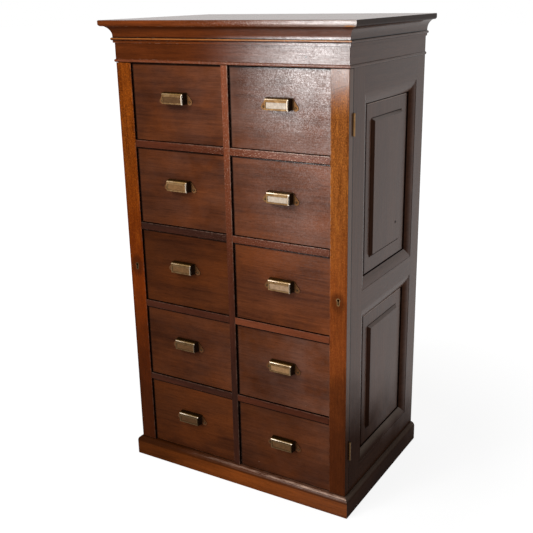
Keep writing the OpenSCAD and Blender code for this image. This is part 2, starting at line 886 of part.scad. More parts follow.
module drawer_front(row) {
    color(mahogany) difference() {
        intersection() {
            along_x(0, drawer_w) eased(drawer_front_t, drawer_h(row), arris_r);
            linear_extrude(drawer_h(row)) mirror([1, -1]) eased(drawer_front_t, drawer_w, arris_r);
        }
        at_both_ends(glue) front_dovetails(row, glue);
        block([drawer_side_t - drawer_groove, drawer_front_t - drawer_groove, drawer_bottom_up],
              [drawer_w - drawer_side_t + drawer_groove, drawer_front_t + over, bottom_top]);
    }
}

module drawer_side(row) {
    difference() {
        along_x(0, drawer_side_t) {
            translate([drawer_front_t, 0])
                square([drawer_len - drawer_front_t - drawer_side_t - glue, side_h(row)]);
            front_dovetails(row, 0);
            rear_dovetails(row, 0);
            translate([drawer_len - drawer_side_t - over, 0])
                square([drawer_side_t + over, drawer_bottom_up]);
        }
        block([drawer_side_t - drawer_groove, 0, drawer_bottom_up],
              [drawer_side_t + over, drawer_len + over, bottom_top]);
    }
}

module drawer_box(row) {
    color(oak) {
        drawer_side(row);
        translate([drawer_w, 0, 0]) left_of() drawer_side(row);
        difference() {
            block([0, drawer_len - drawer_side_t, bottom_top + glue], [drawer_w, drawer_len, side_h(row)]);
            at_both_ends(glue) rear_dovetails(row, glue);
        }
        edge = drawer_side_t - drawer_groove + fit;
        block([edge, drawer_front_t - drawer_groove + fit, drawer_bottom_up + glue],
              [drawer_w - edge, drawer_len, bottom_top - glue]);
    }
}

// Section of the hood: open below and behind, with a rounded upper front edge
module hood_section(inset, room) {
    r = pull_r - inset;
    front = -pull_out + inset;
    top = pull_h / 2 - inset;
    low = -pull_h / 2 - room;
    translate([front, low]) square([-front + room, top - r - low]);
    translate([front + r, low]) square([-front - r + room, top - low]);
    translate([front + r, top - r]) circle(r);
}

module hood_plan(inset) {
    base = pull_base_w / 2 - inset;
    front = pull_w / 2 - inset;
    linear_extrude(2 * pull_h, center = true)
        polygon([[-base, over], [-base, 0], [-front, -pull_out],
                 [front, -pull_out], [base, 0], [base, over]]);
}

module hood() {
    difference() {
        intersection() {
            along_x(-pull_base_w / 2, pull_base_w / 2) hood_section(0, 0);
            hood_plan(0);
        }
        intersection() {
            along_x(-pull_base_w / 2, pull_base_w / 2) hood_section(pull_wall, over);
            hood_plan(pull_wall);
        }
    }
}

// A screw ear: a round lobe joined to the hood's side by a straight edge that touches the round
module ear() {
    corner = [pull_base_w / 2, pull_h / 2];
    lobe = [ear_x, -ear_drop];
    away = corner - lobe;
    turn = atan2(away[1], away[0]) - acos(ear_r / norm(away));
    inner = pull_base_w / 2 - pull_wall;
    along_y(-pull_wall, 0) difference() {
        union() {
            translate(lobe) circle(ear_r);
            polygon([[inner, corner[1]], corner, lobe + ear_r * [cos(turn), sin(turn)], lobe,
                     lobe - [0, ear_r], [inner, lobe[1] - ear_r / 2]]);
        }
        translate(lobe) circle(screw_r);
    }
}

// Four bars in front of the hood that hold a card, with the slot open at one end
module label_frame() {
    side = pull_w / 2 - label_edge;
    low = -pull_h / 2 + label_edge;
    high = pull_h / 2 - pull_r;
    back = -pull_out;
    front = back - card_slot - label_lip;
    difference() {
        block([-side, front, low], [side, back, high]);
        block([-side + label_bar, front - over, low + label_bar], [side - label_bar, back, high - label_head]);
        block([-side + label_bar - card_grip, back - card_slot, low + label_bar - card_grip],
              [side + over, back, high - label_head + card_grip]);
    }
}

module drawer_pull(row) {
    up = rail_top(row) - row_z(row) - drawer_gap_bottom + pull_up;
    color(brass) translate([drawer_w / 2 + pull_aside, 0, up]) {
        hood();
        both_sides() ear();
        label_frame();
    }
}

module at_origin() {
    translate([0, front_y, 0]) children();
}

at_origin() top_board();
at_origin() cornice();
at_origin() frieze();
at_origin() left_side_frame();
at_origin() right_side_frame();
at_origin() front_posts();
at_origin() side_panels();
at_origin() panel_mouldings();
at_origin() back_boards();
at_origin() bottom_board();
at_origin() sub_top();
at_origin() centre_divider();
at_origin() front_muntin();
at_origin() drawer_rails();
at_origin() drawer_runners();
at_origin() drawer_stops();
at_origin() plinth();
at_origin() plinth_bearers();
at_origin() left_flap();
at_origin() right_flap();
at_origin() left_flap_leaves();
at_origin() right_flap_leaves();
at_origin() carcass_leaves();
at_origin() left_escutcheon();
at_origin() right_escutcheon();
at_origin() left_lock();
at_origin() right_lock();
at_origin() left_bolt();
at_origin() right_bolt();
at_origin() lock_staples();
for (column = columns, row = [1:rows]) {
    at_origin() at_drawer(column, row) drawer_front(row);
    at_origin() at_drawer(column, row) drawer_box(row);
    at_origin() at_drawer(column, row) drawer_pull(row);
}
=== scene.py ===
"""Finishes for a mahogany filing cabinet: polish, timber, brass, label cards, screws and a plain studio."""

import functools
import math

import bpy
from mathutils import Matrix, Vector


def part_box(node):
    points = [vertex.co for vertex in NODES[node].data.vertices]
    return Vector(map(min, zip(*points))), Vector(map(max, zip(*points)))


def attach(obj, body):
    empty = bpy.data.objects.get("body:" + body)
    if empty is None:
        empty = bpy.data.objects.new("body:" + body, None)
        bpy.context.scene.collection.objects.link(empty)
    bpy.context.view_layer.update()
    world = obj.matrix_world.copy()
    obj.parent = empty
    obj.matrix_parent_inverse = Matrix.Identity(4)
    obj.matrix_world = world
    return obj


bl_info = {
    "name": "Filing cabinet finishes",
    "version": (1, 0, 0),
    "blender": (4, 5, 0),
    "location": "3D View > Sidebar > Cabinet",
    "description": "Dresses a filing cabinet's solids with polish, brass, cards and screws",
    "category": "Object",
}

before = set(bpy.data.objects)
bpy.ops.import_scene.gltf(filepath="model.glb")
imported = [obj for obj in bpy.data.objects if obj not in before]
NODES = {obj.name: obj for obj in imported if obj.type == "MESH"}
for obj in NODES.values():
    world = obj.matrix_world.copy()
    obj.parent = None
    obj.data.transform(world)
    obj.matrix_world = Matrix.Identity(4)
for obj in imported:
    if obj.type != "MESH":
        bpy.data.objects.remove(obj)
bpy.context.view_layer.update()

COLUMNS = ("left", "right")
SIGNS = {"left": -1, "right": 1}
ROWS = range(1, 6)
DRAWERS = [(f"drawer_{column}_{row}", column, row) for column in COLUMNS for row in ROWS]
MM = 0.001
PHOTO_PIXELS = 533
SENSOR_MM = 36.0

# Places that finishes are laid out from, all read from the solids
FACE_Y, FLAP_BACK = (corner.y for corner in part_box("right_flap"))
FLAP_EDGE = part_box("right_flap")[0].x
HALF_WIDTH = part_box("right_side_frame")[1].x
PLINTH_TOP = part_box("plinth")[1].z
FRIEZE_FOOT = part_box("frieze")[0].z
CORNICE_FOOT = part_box("cornice")[0].z
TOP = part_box("top_board")[1].z
PANEL_FRONT, PANEL_REAR = (corner.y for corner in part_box("panel_mouldings"))
PANEL_FOOT, PANEL_HEAD = (corner.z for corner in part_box("panel_mouldings"))
MUNTIN_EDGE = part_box("front_muntin")[1].x
RAIL_FOOT, RAIL_HEAD = (corner.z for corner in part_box("drawer_rails"))
KEY_X = sum(corner.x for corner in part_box("right_escutcheon")) / 2
KEY_Z = sum(corner.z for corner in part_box("right_escutcheon")) / 2

# Sizes and places that the solids' boxes don't give
RAIL_HEIGHT = 18.7 * MM
RAIL_PITCH = (RAIL_HEAD - RAIL_FOOT - RAIL_HEIGHT) / (len(ROWS) - 2)
MID_RAIL_FOOT = 541 * MM
MID_RAIL_HEAD = 591.5 * MM
MOULDING_WIDTH = 28.5 * MM
FIELD_INSET = 40 * MM
PANEL_KNOT = (0.086, 0.716)
PULL_HALF = 34.5 * MM
PULL_SCREW_INSET = 7.5 * MM
PULL_EAR_THICKNESS = 1.3 * MM
HINGE_LENGTH = 52 * MM
HINGE_SCREW_PARTS = (0.14, 0.5, 0.86)
HINGE_SCREW_INSET = 7.5 * MM
STAPLE_SCREW_INSET = 7.5 * MM
LOCK_SCREW_INSET = 3.2 * MM
FLAT_SCREW_RISE = 0.6 * MM
FLAT_SCREW_SINK = 0.4 * MM
HINGE_SLOT_WIDTH = 0.6 * MM
LOCK_SLOT_WIDTH = 0.5 * MM
CARD_OUTWARD = 0.6 * MM
CARD_BEHIND = 1.4 * MM
CARD_DROP = 16.75 * MM
CARD_CORNER = 1.2 * MM
CARD_BORDER = 0.8 * MM
BACK_BOARDS = 6
NAIL_PARTS = (0.25, 0.75)
NAIL_INSET = 12 * MM
NAIL_RISE = 0.7 * MM
NAIL_SINK = 0.3 * MM
NAIL_SLIP = 2.5 * MM
SMOOTH_ANGLE = math.radians(35)
FLOOR_WIDTH = 60.0
# Angles that the screws' slots have come to rest at
FIRST_SPIN = 0.7
SPIN_STEP = 1.9
# How far the grain of a board wanders
GRAIN_SWAY = 0.02

# Tones of each drawer from the top row down: its front, the bloom of its polish with a painted glare, the
# browning of its card, the brightness of its brass pull, darkened in the lower rows by painted shade, and
# the painted highlight, partly rubbing, on the pull's upper edge
DRAWER_TONES = {"left": (1.02, 0.9, 0.7, 0.72, 0.72), "right": (1.2, 1.34, 1.38, 0.92, 0.74)}
DRAWER_BLOOM_AND_GLARE = {"left": (0.08, 0.08, 0.0, 0.05, 0.0), "right": (0.6, 0.28, 0.04, 0.2, 0.06)}
CARD_BROWNING = {"left": (0.88, 0.69, 0.79, 0.87, 0.94), "right": (0.03, 0.04, 0.38, 0.47, 0.86)}
# Brightness of each pull, darkened in the lower rows by painted shade
PULL_TONES_AND_SHADE = {"left": (0.54, 0.65, 0.5, 0.42, 0.37), "right": (0.78, 0.78, 0.74, 0.68, 0.44)}
PULL_LIP_HIGHLIGHTS = {"left": (0.1, 0.15, 0.15, 0.3, 0.6), "right": (0.4, 0.9, 0.55, 0.7, 0.85)}
# How red, green and blue each flap is, how light its foot is, and how bright the brass rim of its keyhole
FLAP_TONES = {"left": (0.66, 0.48, 0.24), "right": (1.0, 1.0, 1.0)}
FLAP_FOOT_TONES = {"left": 0.75, "right": 1.0}
RIM_TONES = {"left": 0.3, "right": 0.85}


# Settings


def linear(red, green, blue):
    """A colour given as 0 to 255 on a screen, as the linear values that shaders take."""
    return tuple(c / 12.92 if c <= 0.04045 else ((c + 0.055) / 1.055) ** 2.4
                 for c in (red / 255, green / 255, blue / 255))


def times(colour, factor):
    """A colour made lighter or darker by one factor, or by one for red, green and blue each."""
    factors = factor if isinstance(factor, tuple) else (factor,) * 3
    return tuple(c * f for c, f in zip(colour, factors))


def hue(name, description, red, green, blue):
    """A colour setting."""
    return bpy.props.FloatVectorProperty(
        name=name, description=description, subtype="COLOR", size=3, min=0, max=1,
        default=linear(red, green, blue))


def number(name, description, default, **kind):
    """A setting of one number."""
    return bpy.props.FloatProperty(name=name, description=description, default=default, **kind)


def length(name, description, millimetres):
    """A setting of one length."""
    return number(name, description, millimetres * MM, min=0, unit="LENGTH", precision=4)


class CabinetTimberSettings(bpy.types.PropertyGroup):
    """Colours of the wood"""

    case_light: hue("Case light", "Light figure of the cornice and frieze", 116, 56, 22)
    case_dark: hue("Case dark", "Dark figure of the cornice and frieze", 72, 32, 11)
    plinth_light: hue("Plinth light", "Light figure of the plinth", 116, 58, 20)
    plinth_dark: hue("Plinth dark", "Dark figure of the plinth", 62, 29, 10)
    rail_light: hue("Rail light", "Rails and muntin where they are light", 130, 70, 44)
    rail_dark: hue("Rail dark", "Rails and muntin where they are dark", 84, 42, 26)
    rail_black: hue("Rail black", "Rails and muntin where they are nearly black", 46, 27, 21)
    drawer_light: hue("Drawer light", "Light figure of the drawer fronts", 98, 52, 27)
    drawer_dark: hue("Drawer dark", "Dark figure of the drawer fronts", 58, 28, 15)
    drawer_red: hue("Drawer red", "Warm patches of the drawer fronts", 112, 56, 22)
    # Bloom of the polish, also used as painted glare on the drawers and on the right flap's head
    bloom_and_glare: hue("Drawer bloom", "Greyish bloom of the old polish", 134, 110, 102)
    flap_light: hue("Flap light", "Light figure of the flaps", 154, 89, 38)
    flap_dark: hue("Flap dark", "Dark figure of the flaps", 103, 51, 16)
    flap_red: hue("Flap red", "Redder lower half of the flaps", 130, 60, 24)
    flap_foot: hue("Flap foot", "Darkened lower part of the flaps", 68, 31, 13)
    flap_flame: hue("Flap flame", "Bright flames in the figure of the flaps", 186, 112, 44)
    side_light: hue("Side light", "Light figure of the sides", 104, 67, 48)
    side_dark: hue("Side dark", "Dark figure of the sides", 78, 47, 33)
    # Dust, and a painted highlight, on the upward faces of the mouldings at the sides
    side_dust_and_highlight: hue("Side dust", "Dusty upper faces of the mouldings at the sides", 128, 114, 102)
    # Bare wood on rubbed edges, also the pale of painted highlights and glints on arrises, beads and the
    # top's edge
    worn_edge_and_highlight: hue("Worn edge", "Bare wood on rubbed edges", 172, 142, 124)
    # Golden painted highlight along the bead under the cornice, also the tint of the chip at the top's front
    # edge
    golden_highlight_and_chip: hue("Golden bead", "Rubbed bead under the cornice", 198, 128, 62)
    # Grime and shade: old dirt, and also painted shade in quirks, gaps and recesses, under beads and rails,
    # and beside the pulls
    grime_and_shade: hue("Grime", "Old dirt in corners and round fittings", 24, 13, 9)
    oak_light: hue("Oak light", "Light figure of the drawer boxes", 176, 138, 92)
    oak_dark: hue("Oak dark", "Dark figure of the drawer boxes", 132, 96, 58)
    deal_light: hue("Deal light", "Light figure of the hidden boards", 158, 118, 74)
    deal_dark: hue("Deal dark", "Dark figure of the hidden boards", 116, 80, 46)


class CabinetFittingSettings(bpy.types.PropertyGroup):
    """Colours of metal and card, and sizes of the small pieces"""

    # Rubbed brass, also used for painted highlights on the pulls' upper edges and right front corners
    brass_rubbed_and_highlight: hue("Brass rubbed", "Brass rubbed nearly white on its edges", 220, 206, 188)
    brass_bright: hue("Brass bright", "Clean brass", 206, 174, 128)
    brass_gilt: hue("Brass gilt", "Olive gold of the upper edges", 122, 92, 38)
    brass_aged: hue("Brass aged", "Tarnished brass", 113, 83, 51)
    brass_black: hue("Brass black", "Brass in the corners, gone nearly black", 24, 17, 11)
    # Tarnished brass, also used as painted shade on the pulls' ears, deeper in the lower rows
    brass_browned_and_shaded: hue("Brass browned", "Brass gone as brown as the wood", 84, 52, 30)
    screw_tint: hue("Screws", "Darkened brass screws", 70, 54, 36)
    nail_tint: hue("Nails", "Iron nails of the back", 58, 52, 48)
    card_clean: hue("Card clean", "Clean label card", 212, 194, 174)
    card_tan: hue("Card tan", "Label card halfway to brown", 152, 112, 70)
    card_browned: hue("Card browned", "Browned label card", 64, 40, 21)
    card_width: length("Card width", "Width of a label card", 58.3)
    card_height: length("Card height", "Height of a label card", 17.1)
    card_thickness: length("Card thickness", "Thickness of a label card", 0.35)
    screw_radius: length("Screw radius", "Radius of a pull screw's head", 2.8)
    screw_rise: length("Screw rise", "Height of a pull screw's head", 1.2)
    slot_width: length("Slot width", "Width of a screw's slot", 0.8)
    hinge_screw_radius: length("Hinge screw radius", "Radius of a hinge screw's head", 2.4)
    lock_screw_radius: length("Lock screw radius", "Radius of a lock screw's head", 2.0)
    nail_radius: length("Nail radius", "Radius of a nail's head", 2.6)


class CabinetStageSettings(bpy.types.PropertyGroup):
    """The camera and the light"""

    camera_place: bpy.props.FloatVectorProperty(
        name="Camera place", description="Place of the camera", subtype="TRANSLATION", size=3,
        default=(1.128528, -1.906126, 1.292736), precision=5)
    camera_yaw: number("Camera yaw", "Turn of the camera to the left", 0.543, subtype="ANGLE")
    camera_pitch: number("Camera pitch", "Tilt of the camera, down is negative", -0.316, subtype="ANGLE")
    camera_roll: number("Camera roll", "Roll of the camera", -0.020, subtype="ANGLE")
    focal_pixels: number("Focal length in pixels", "Focal length for a picture 533 pixels wide", 834.864,
                         subtype="PIXEL")
    window_power: number("Window power", "Power of the window at the front left", 32, subtype="POWER")
    overhead_power: number("Overhead power", "Power of the soft lamp overhead", 62, subtype="POWER")
    fill_strength: number("Fill strength", "Strength of the light from all round, where one is white", 0.32,
                          min=0, max=1, subtype="FACTOR")


# Node building


def reckoned(operation):
    """A method that works out one operation on a value, and on another one if it takes two."""
    return lambda self, other=0.0: self.board.math(operation, self, other)


class Value:
    """What a node puts out. Numbers can be reckoned with as in plain sums."""

    def __init__(self, board, socket):
        self.board = board
        self.socket = socket

    __add__ = reckoned("ADD")
    __sub__ = reckoned("SUBTRACT")
    __mul__ = reckoned("MULTIPLY")
    __gt__ = reckoned("GREATER_THAN")
    __lt__ = reckoned("LESS_THAN")
    __abs__ = reckoned("ABSOLUTE")
    most = reckoned("MAXIMUM")
    least = reckoned("MINIMUM")

    def __rsub__(self, other):
        return self.board.math("SUBTRACT", other, self)

    def span(self, low, high, to_low=0.0, to_high=1.0, smooth=False):
        """Goes from to_low to to_high while this value goes from low to high, and no further."""
        limits = {"From Min": low, "From Max": high, "To Min": to_low, "To Max": to_high}
        return self.board.value("ShaderNodeMapRange", {"Value": self, **limits}, "Result",
                                interpolation_type="SMOOTHSTEP" if smooth else "LINEAR")

    def vary(self, least, most):
        """Goes from least to most while this value goes from nought to one."""
        return self.span(0.0, 1.0, least, most)

    def between(self, low, high, soft):
        """One from low to high, fading out over soft on both sides."""
        return self.span(low - soft, low, smooth=True) * self.span(high, high + soft, 1.0, 0.0, smooth=True)


class NodeBoard:
    """Adds nodes to a tree and links them. An input is a number, a colour, a socket or a Value."""

    def __init__(self, tree):
        self.tree = tree

    def add(self, kind, inputs=None, **settings):
        node = self.tree.nodes.new(kind)
        for name, value in settings.items():
            setattr(node, name, value)
        for name, value in (inputs or {}).items():
            self.feed(node.inputs[name], value)
        return node

    def feed(self, socket, value):
        """Links a socket to what another node puts out, or sets its own value."""
        if isinstance(value, Value):
            value = value.socket
        if isinstance(value, bpy.types.NodeSocket):
            self.tree.links.new(value, socket)
        elif isinstance(socket.default_value, (float, int)):
            socket.default_value = value
        else:
            width = len(socket.default_value)
            socket.default_value = (tuple(value) + (1.0,))[:width]

    def value(self, kind, inputs, output=0, **settings):
        """One output of a new node."""
        return Value(self, self.add(kind, inputs, **settings).outputs[output])

    def parts(self, vector):
        """The three coordinates of a vector."""
        return [Value(self, socket) for socket in self.add("ShaderNodeSeparateXYZ", {0: vector}).outputs]

    def shifted(self, vector, shift):
        return self.value("ShaderNodeVectorMath", {0: vector, 1: shift}, operation="ADD")

    def math(self, operation, first, second=0.0, third=0.0, clamp=False):
        inputs = {0: first, 1: second, 2: third}
        return self.value("ShaderNodeMath", inputs, operation=operation, use_clamp=clamp)

    def away(self, first, second, centre, stretch=(1.0, 1.0)):
        """Distance of two coordinates from a centre, each stretched first."""
        across = (first - centre[0]) * stretch[0]
        upward = (second - centre[1]) * stretch[1]
        return self.math("SQRT", across * across + upward * upward)

    def mix(self, kind, factor, first, second, **settings):
        """Goes from first to second with the factor, by the node's inputs and output of that kind."""
        place = ("FLOAT", "VECTOR", "RGBA").index(kind)
        inputs = {0: factor, 2 * place + 2: first, 2 * place + 3: second}
        return self.value("ShaderNodeMix", inputs, place, data_type=kind, **settings)

    def pick(self, factor, first, second):
        return self.mix("FLOAT", factor, first, second)

    def blend(self, factor, first, second, blend_type="MIX"):
        return self.mix("RGBA", factor, first, second, blend_type=blend_type)

    def shaded(self, colour, value):
        grey = self.value("ShaderNodeCombineColor", {"Red": value, "Green": value, "Blue": value})
        return self.blend(1.0, colour, grey, "MULTIPLY")

    def noise(self, vector, scale, detail=2.0, roughness=0.5, distortion=0.0):
        """Cloudy noise, drawn out where the scale is given for each axis."""
        if isinstance(scale, tuple):
            vector = self.value("ShaderNodeMapping", {"Vector": vector, "Scale": scale})
            scale = 1.0
        return self.value("ShaderNodeTexNoise", {"Vector": vector, "Scale": scale, "Detail": detail,
                                                 "Roughness": roughness, "Distortion": distortion}, "Fac")


def emptied(owner):
    """The node tree of a material or world, with nothing in it."""
    owner.use_nodes = True
    owner.node_tree.nodes.clear()
    return owner.node_tree


def node_group(name, numbers, build):
    """The node group of that name, built once. It takes a vector and the named numbers."""
    tree = bpy.data.node_groups.get(name)
    if tree:
        return tree
    tree = bpy.data.node_groups.new(name, "ShaderNodeTree")
    tree.interface.new_socket("Vector", in_out="INPUT", socket_type="NodeSocketVector")
    for label in numbers:
        tree.interface.new_socket(label, in_out="INPUT", socket_type="NodeSocketFloat")
    board = NodeBoard(tree)
    results = build(board, board.add("NodeGroupInput").outputs)
    for label in results:
        tree.interface.new_socket(label, in_out="OUTPUT", socket_type="NodeSocketFloat")
    board.add("NodeGroupOutput", results)
    return tree


def build_grain(board, given):
    """The figure of a board with its grain along X, from broad bands down to pores."""
    push = (board.noise(given["Vector"], (1.8, 5.0, 5.0), detail=1.0) - 0.5) * given["Sway"]
    bent = board.shifted(given["Vector"], board.value("ShaderNodeCombineXYZ", {"Y": push, "Z": push}))
    broad = board.noise(bent, (1.7, 15.0, 15.0), detail=3.0, roughness=0.55)
    streak = board.noise(bent, (4.5, 130.0, 130.0), detail=4.0, roughness=0.62)
    return {
        "Broad": broad.span(0.32, 0.68, smooth=True),
        "Streak": streak.span(0.30, 0.70),
        "Fleck": board.noise(bent, (16.0, 210.0, 210.0)).span(0.60, 0.74, smooth=True),
        "Fibre": board.noise(bent, (26.0, 760.0, 760.0)).span(0.28, 0.72),
        "Pores": board.noise(bent, (95.0, 2100.0, 2100.0), detail=1.0).span(0.60, 0.70, smooth=True),
    }


def build_wear(board, given):
    """Edges, the patches rubbed off them, and closed-in corners, which the finishes darken: the wood and
    card with dirt and painted shade, the brass with patina.
    """
    rounded = board.value("ShaderNodeBevel", {"Radius": given["Radius"]}, samples=4)
    flat = board.add("ShaderNodeNewGeometry").outputs["True Normal"]
    agree = board.value("ShaderNodeVectorMath", {0: rounded, 1: flat}, "Value", operation="DOT_PRODUCT")
    edge = agree.span(0.995, 0.80)
    patchy = board.noise(given["Vector"], 55.0, detail=4.0, roughness=0.7)
    rub = patchy.span(0.46, 0.66) * board.noise(given["Vector"], 420.0).span(0.35, 0.65)
    closed = board.value("ShaderNodeAmbientOcclusion", {"Distance": given["Reach"]}, "AO", samples=8)
    worn = board.math("MULTIPLY", edge, rub, clamp=True)
    return {"Worn": worn, "Edge": edge, "Corner": closed.span(0.75, 0.25)}


def build_age(board, given):
    """Unevenness of an old surface, from wide haze down to specks."""
    vector = given["Vector"]
    spots = board.value("ShaderNodeTexVoronoi", {"Vector": vector, "Scale": 30.0}, "Distance", feature="F1")
    return {
        "Haze": board.noise(vector, 7.0, detail=5.0, roughness=0.62).span(0.3, 0.7),
        "Mottle": board.noise(vector, 140.0, detail=3.0, roughness=0.6).span(0.3, 0.7),
        "Crackle": board.noise(vector, 330.0, detail=3.0, roughness=0.7).span(0.52, 0.66),
        "Grit": board.noise(vector, 460.0, detail=1.0).span(0.36, 0.74),
        "Speck": spots < board.noise(vector, 11.0).span(0.52, 0.80, 0.0, 0.07),
    }


class Surface(NodeBoard):
    """A new material, with the values that finishes are painted from: place, facing, age, wear and grain."""

    def __init__(self, name, edge=2 * MM, reach=4 * MM, grain=None):
        self.material = bpy.data.materials.new(name)
        super().__init__(emptied(self.material))
        self.shader = self.add("ShaderNodeBsdfPrincipled")
        self.add("ShaderNodeOutputMaterial", {"Surface": self.shader.outputs[0]})
        coordinates = self.add("ShaderNodeTexCoord").outputs
        self.place = coordinates["Object"]
        self.x, self.y, self.z = self.parts(self.place)
        self.facing_x, self.facing_y, self.facing_z = self.parts(coordinates["Normal"])
        self.age = self.group("old_surface", build_age, self.place)
        self.wear = self.group("rubbed_edges", build_wear, self.place, Radius=edge, Reach=reach)
        self.wood = self.group("wood_grain", build_grain, grain(self), Sway=GRAIN_SWAY) if grain else None

    def group(self, name, build, vector, **numbers):
        """The named values of a node group."""
        tree = node_group(name, numbers, build)
        node = self.add("ShaderNodeGroup", {"Vector": vector, **numbers}, node_tree=tree)
        return {socket.name: Value(self, socket) for socket in node.outputs}

    def along(self, axis, offset=(0.0, 0.0, 0.0)):
        """Coordinates turned so that the grain runs along the given axis of the cabinet."""
        x, y, z = self.x, self.y, self.z
        first, second, third = {"X": (x, y, z), "Y": (y, x, z), "Z": (z, x, y)}[axis]
        return self.shifted(self.value("ShaderNodeCombineXYZ", {0: first, 1: second, 2: third}), offset)

    @functools.cached_property
    def at_side(self):
        """One on the faces of the cabinet's sides, from the mitre on, and nought on backs."""
        past = abs(self.x) - (HALF_WIDTH - 0.3 * MM)
        return (past + (self.y - FACE_Y) > 0.0) * (self.facing_y < 0.5)

    def finished(self, inputs, height, strength, depth):
        """The material, with the shader's inputs and its relief."""
        bump = self.value("ShaderNodeBump", {"Height": height, "Strength": strength, "Distance": depth})
        for name, value in {**inputs, "Normal": bump}.items():
            self.feed(self.shader.inputs[name], value)
        return self.material


def prepared(step):
    """Lets a step on a surface take its settings first, and the surface, with its colour so far, later."""
    def prepare(*settings, **named):
        return lambda *surface: step(*surface, *settings, **named)
    return functools.wraps(step)(prepare)


# Grain of each kind of piece


grain_along = prepared(Surface.along)


def trim_grain(board):
    """Along the length of each mitred piece: across the front, and front to back at the sides."""
    return board.mix("VECTOR", board.at_side, board.along("X"), board.along("Y", (0.0, 3.1, 1.7)))


def frame_grain(board):
    """Up the stiles and along the rails of a framed side."""
    rail = (board.y > PANEL_FRONT) * (board.y < PANEL_REAR)
    return board.mix("VECTOR", rail, board.along("Z"), board.along("Y", (0.0, 5.3, 2.9)))


# Gloss


@prepared
def front_gloss(board, across, upward, amount, grit=0.25):
    """Gloss that grows to the right and upwards, where the old polish is best kept, gritty as grit says."""
    patch = board.age["Mottle"].vary(0.7, 1.25) * board.age["Haze"].vary(0.75, 1.25)
    patch = patch * board.age["Grit"].vary(1.0 - grit, 1.0 + 2 * grit)
    if board.wood:
        patch = patch * board.wood["Fibre"].vary(0.7, 1.25) * board.wood["Broad"].vary(0.8, 1.15)
    kept = board.x.span(*across, smooth=True) * board.z.span(*upward, smooth=True)
    return kept * patch * amount + 0.025


def side_lift(board):
    """Height on the sides, counted higher towards the back."""
    return board.z + (board.y - FACE_Y) * 0.45 + board.age["Haze"].vary(-0.03, 0.03)


def side_sheen(board):
    """Gloss of the sides, dull at the foot and on what faces the front."""
    turned = board.facing_y.span(-0.05, -0.42, 1.0, 0.1)
    return side_lift(board).span(0.20, 0.44, 0.04, 0.58, smooth=True) * turned


def panel_sheen(board):
    return side_sheen(board) * (1.0 - panel_dirt_and_shade(board))


@prepared
def trim_gloss(board, across, upward, amount):
    """Gloss of a piece that goes round the front corner."""
    return board.pick(board.at_side, front_gloss(across, upward, amount)(board), side_sheen(board))


def top_sheen(board):
    """Gloss of the top board: most on its upper face, and little on its ends."""
    edge = front_gloss((-0.1, 0.34), (1.0, 1.1), 0.8)(board)
    return board.pick(on_top(board), board.pick(board.at_side, edge, side_sheen(board) * 0.45), 0.95)


DRAWER_GLOSS = front_gloss((-0.02, 0.24), (0.45, 1.06), 0.84, 0.6)


# Wood


def dress(nodes, material):
    """Gives CAD nodes a finish in place of their plain one."""
    for name in nodes:
        for slot in NODES[name].material_slots:
            slot.material = material


def polish(nodes, timber, name, grain, light, dark, paints, sheen=DRAWER_GLOSS, worn=1.0, reach=4 * MM):
    """Dresses nodes in old mahogany. Each paint takes the surface and its colour, and gives a new colour."""
    board = Surface(f"mahogany_{name}", reach=reach, grain=grain)
    wood, age, corner = board.wood, board.age, board.wear["Corner"]
    board.figure = board.pick(0.5, wood["Broad"], wood["Streak"])
    colour = board.blend(board.figure, dark, light)
    for paint in paints:
        colour = paint(board, colour)
    shade = wood["Fibre"].vary(0.80, 1.12) * wood["Fleck"].vary(1.0, 0.80) * wood["Pores"].vary(1.0, 0.62)
    # Corners and gaps darkened with dirt and painted shade; the coat is taken out there too
    shade = shade * age["Haze"].vary(0.88, 1.10) * corner.vary(1.0, 0.18)
    rubbed = board.math("MULTIPLY", board.wear["Worn"], worn, clamp=True)
    height = wood["Fibre"] * 0.25 - wood["Pores"] * 0.6 + age["Mottle"] * 0.5
    dress(nodes, board.finished({
        "Base Color": board.blend(rubbed, board.shaded(colour, shade), timber.worn_edge_and_highlight),
        "Roughness": age["Mottle"].vary(0.34, 0.50) + rubbed * 0.25,
        "Specular IOR Level": 0.0,
        "Coat Weight": sheen(board) * corner.span(0.0, 0.7, 1.0, 0.0),
        "Coat Roughness": 0.24,
    }, height, 0.4, 0.3 * MM))


def leave_plain(nodes, name, axis, light, dark):
    """Dresses nodes in unpolished timber, with its grain along the axis."""
    board = Surface(name, grain=grain_along(axis))
    wood, age = board.wood, board.age
    figure = board.pick(0.55, wood["Broad"], wood["Streak"])
    shade = wood["Fibre"].vary(0.82, 1.08) * age["Haze"].vary(0.80, 1.08)
    # Corners darkened with dirt and painted shade
    shade = shade * board.wear["Corner"].vary(1.0, 0.55)
    dress(nodes, board.finished({
        "Base Color": board.shaded(board.blend(figure, dark, light), shade),
        "Roughness": age["Mottle"].vary(0.58, 0.78),
        "Specular IOR Level": 0.2,
    }, wood["Fibre"], 0.35, 0.4 * MM))


# Masks, which say where a paint lies


def on_top(board):
    """One on the upper face of the top board."""
    return board.z > TOP - 0.5 * MM


def upper_right(board):
    """Rises from nought to one towards the front's upper right."""
    return board.x.span(-0.22, 0.26, smooth=True) * board.z.span(0.50, 1.12, smooth=True)


@prepared
def height_mask(board, base, low, high, soft):
    """A band of heights on the front and the sides, in millimetres above a base."""
    return board.z.between(base + low * MM, base + high * MM, soft * MM)


@prepared
def bead_mask(board, base, low, high, soft=1.5, growing=None):
    """A band of heights on the front, which may grow stronger between two places across the cabinet."""
    level = height_mask(base, low, high, soft)(board) * (1.0 - board.at_side)
    return level * board.x.span(*growing) if growing else level


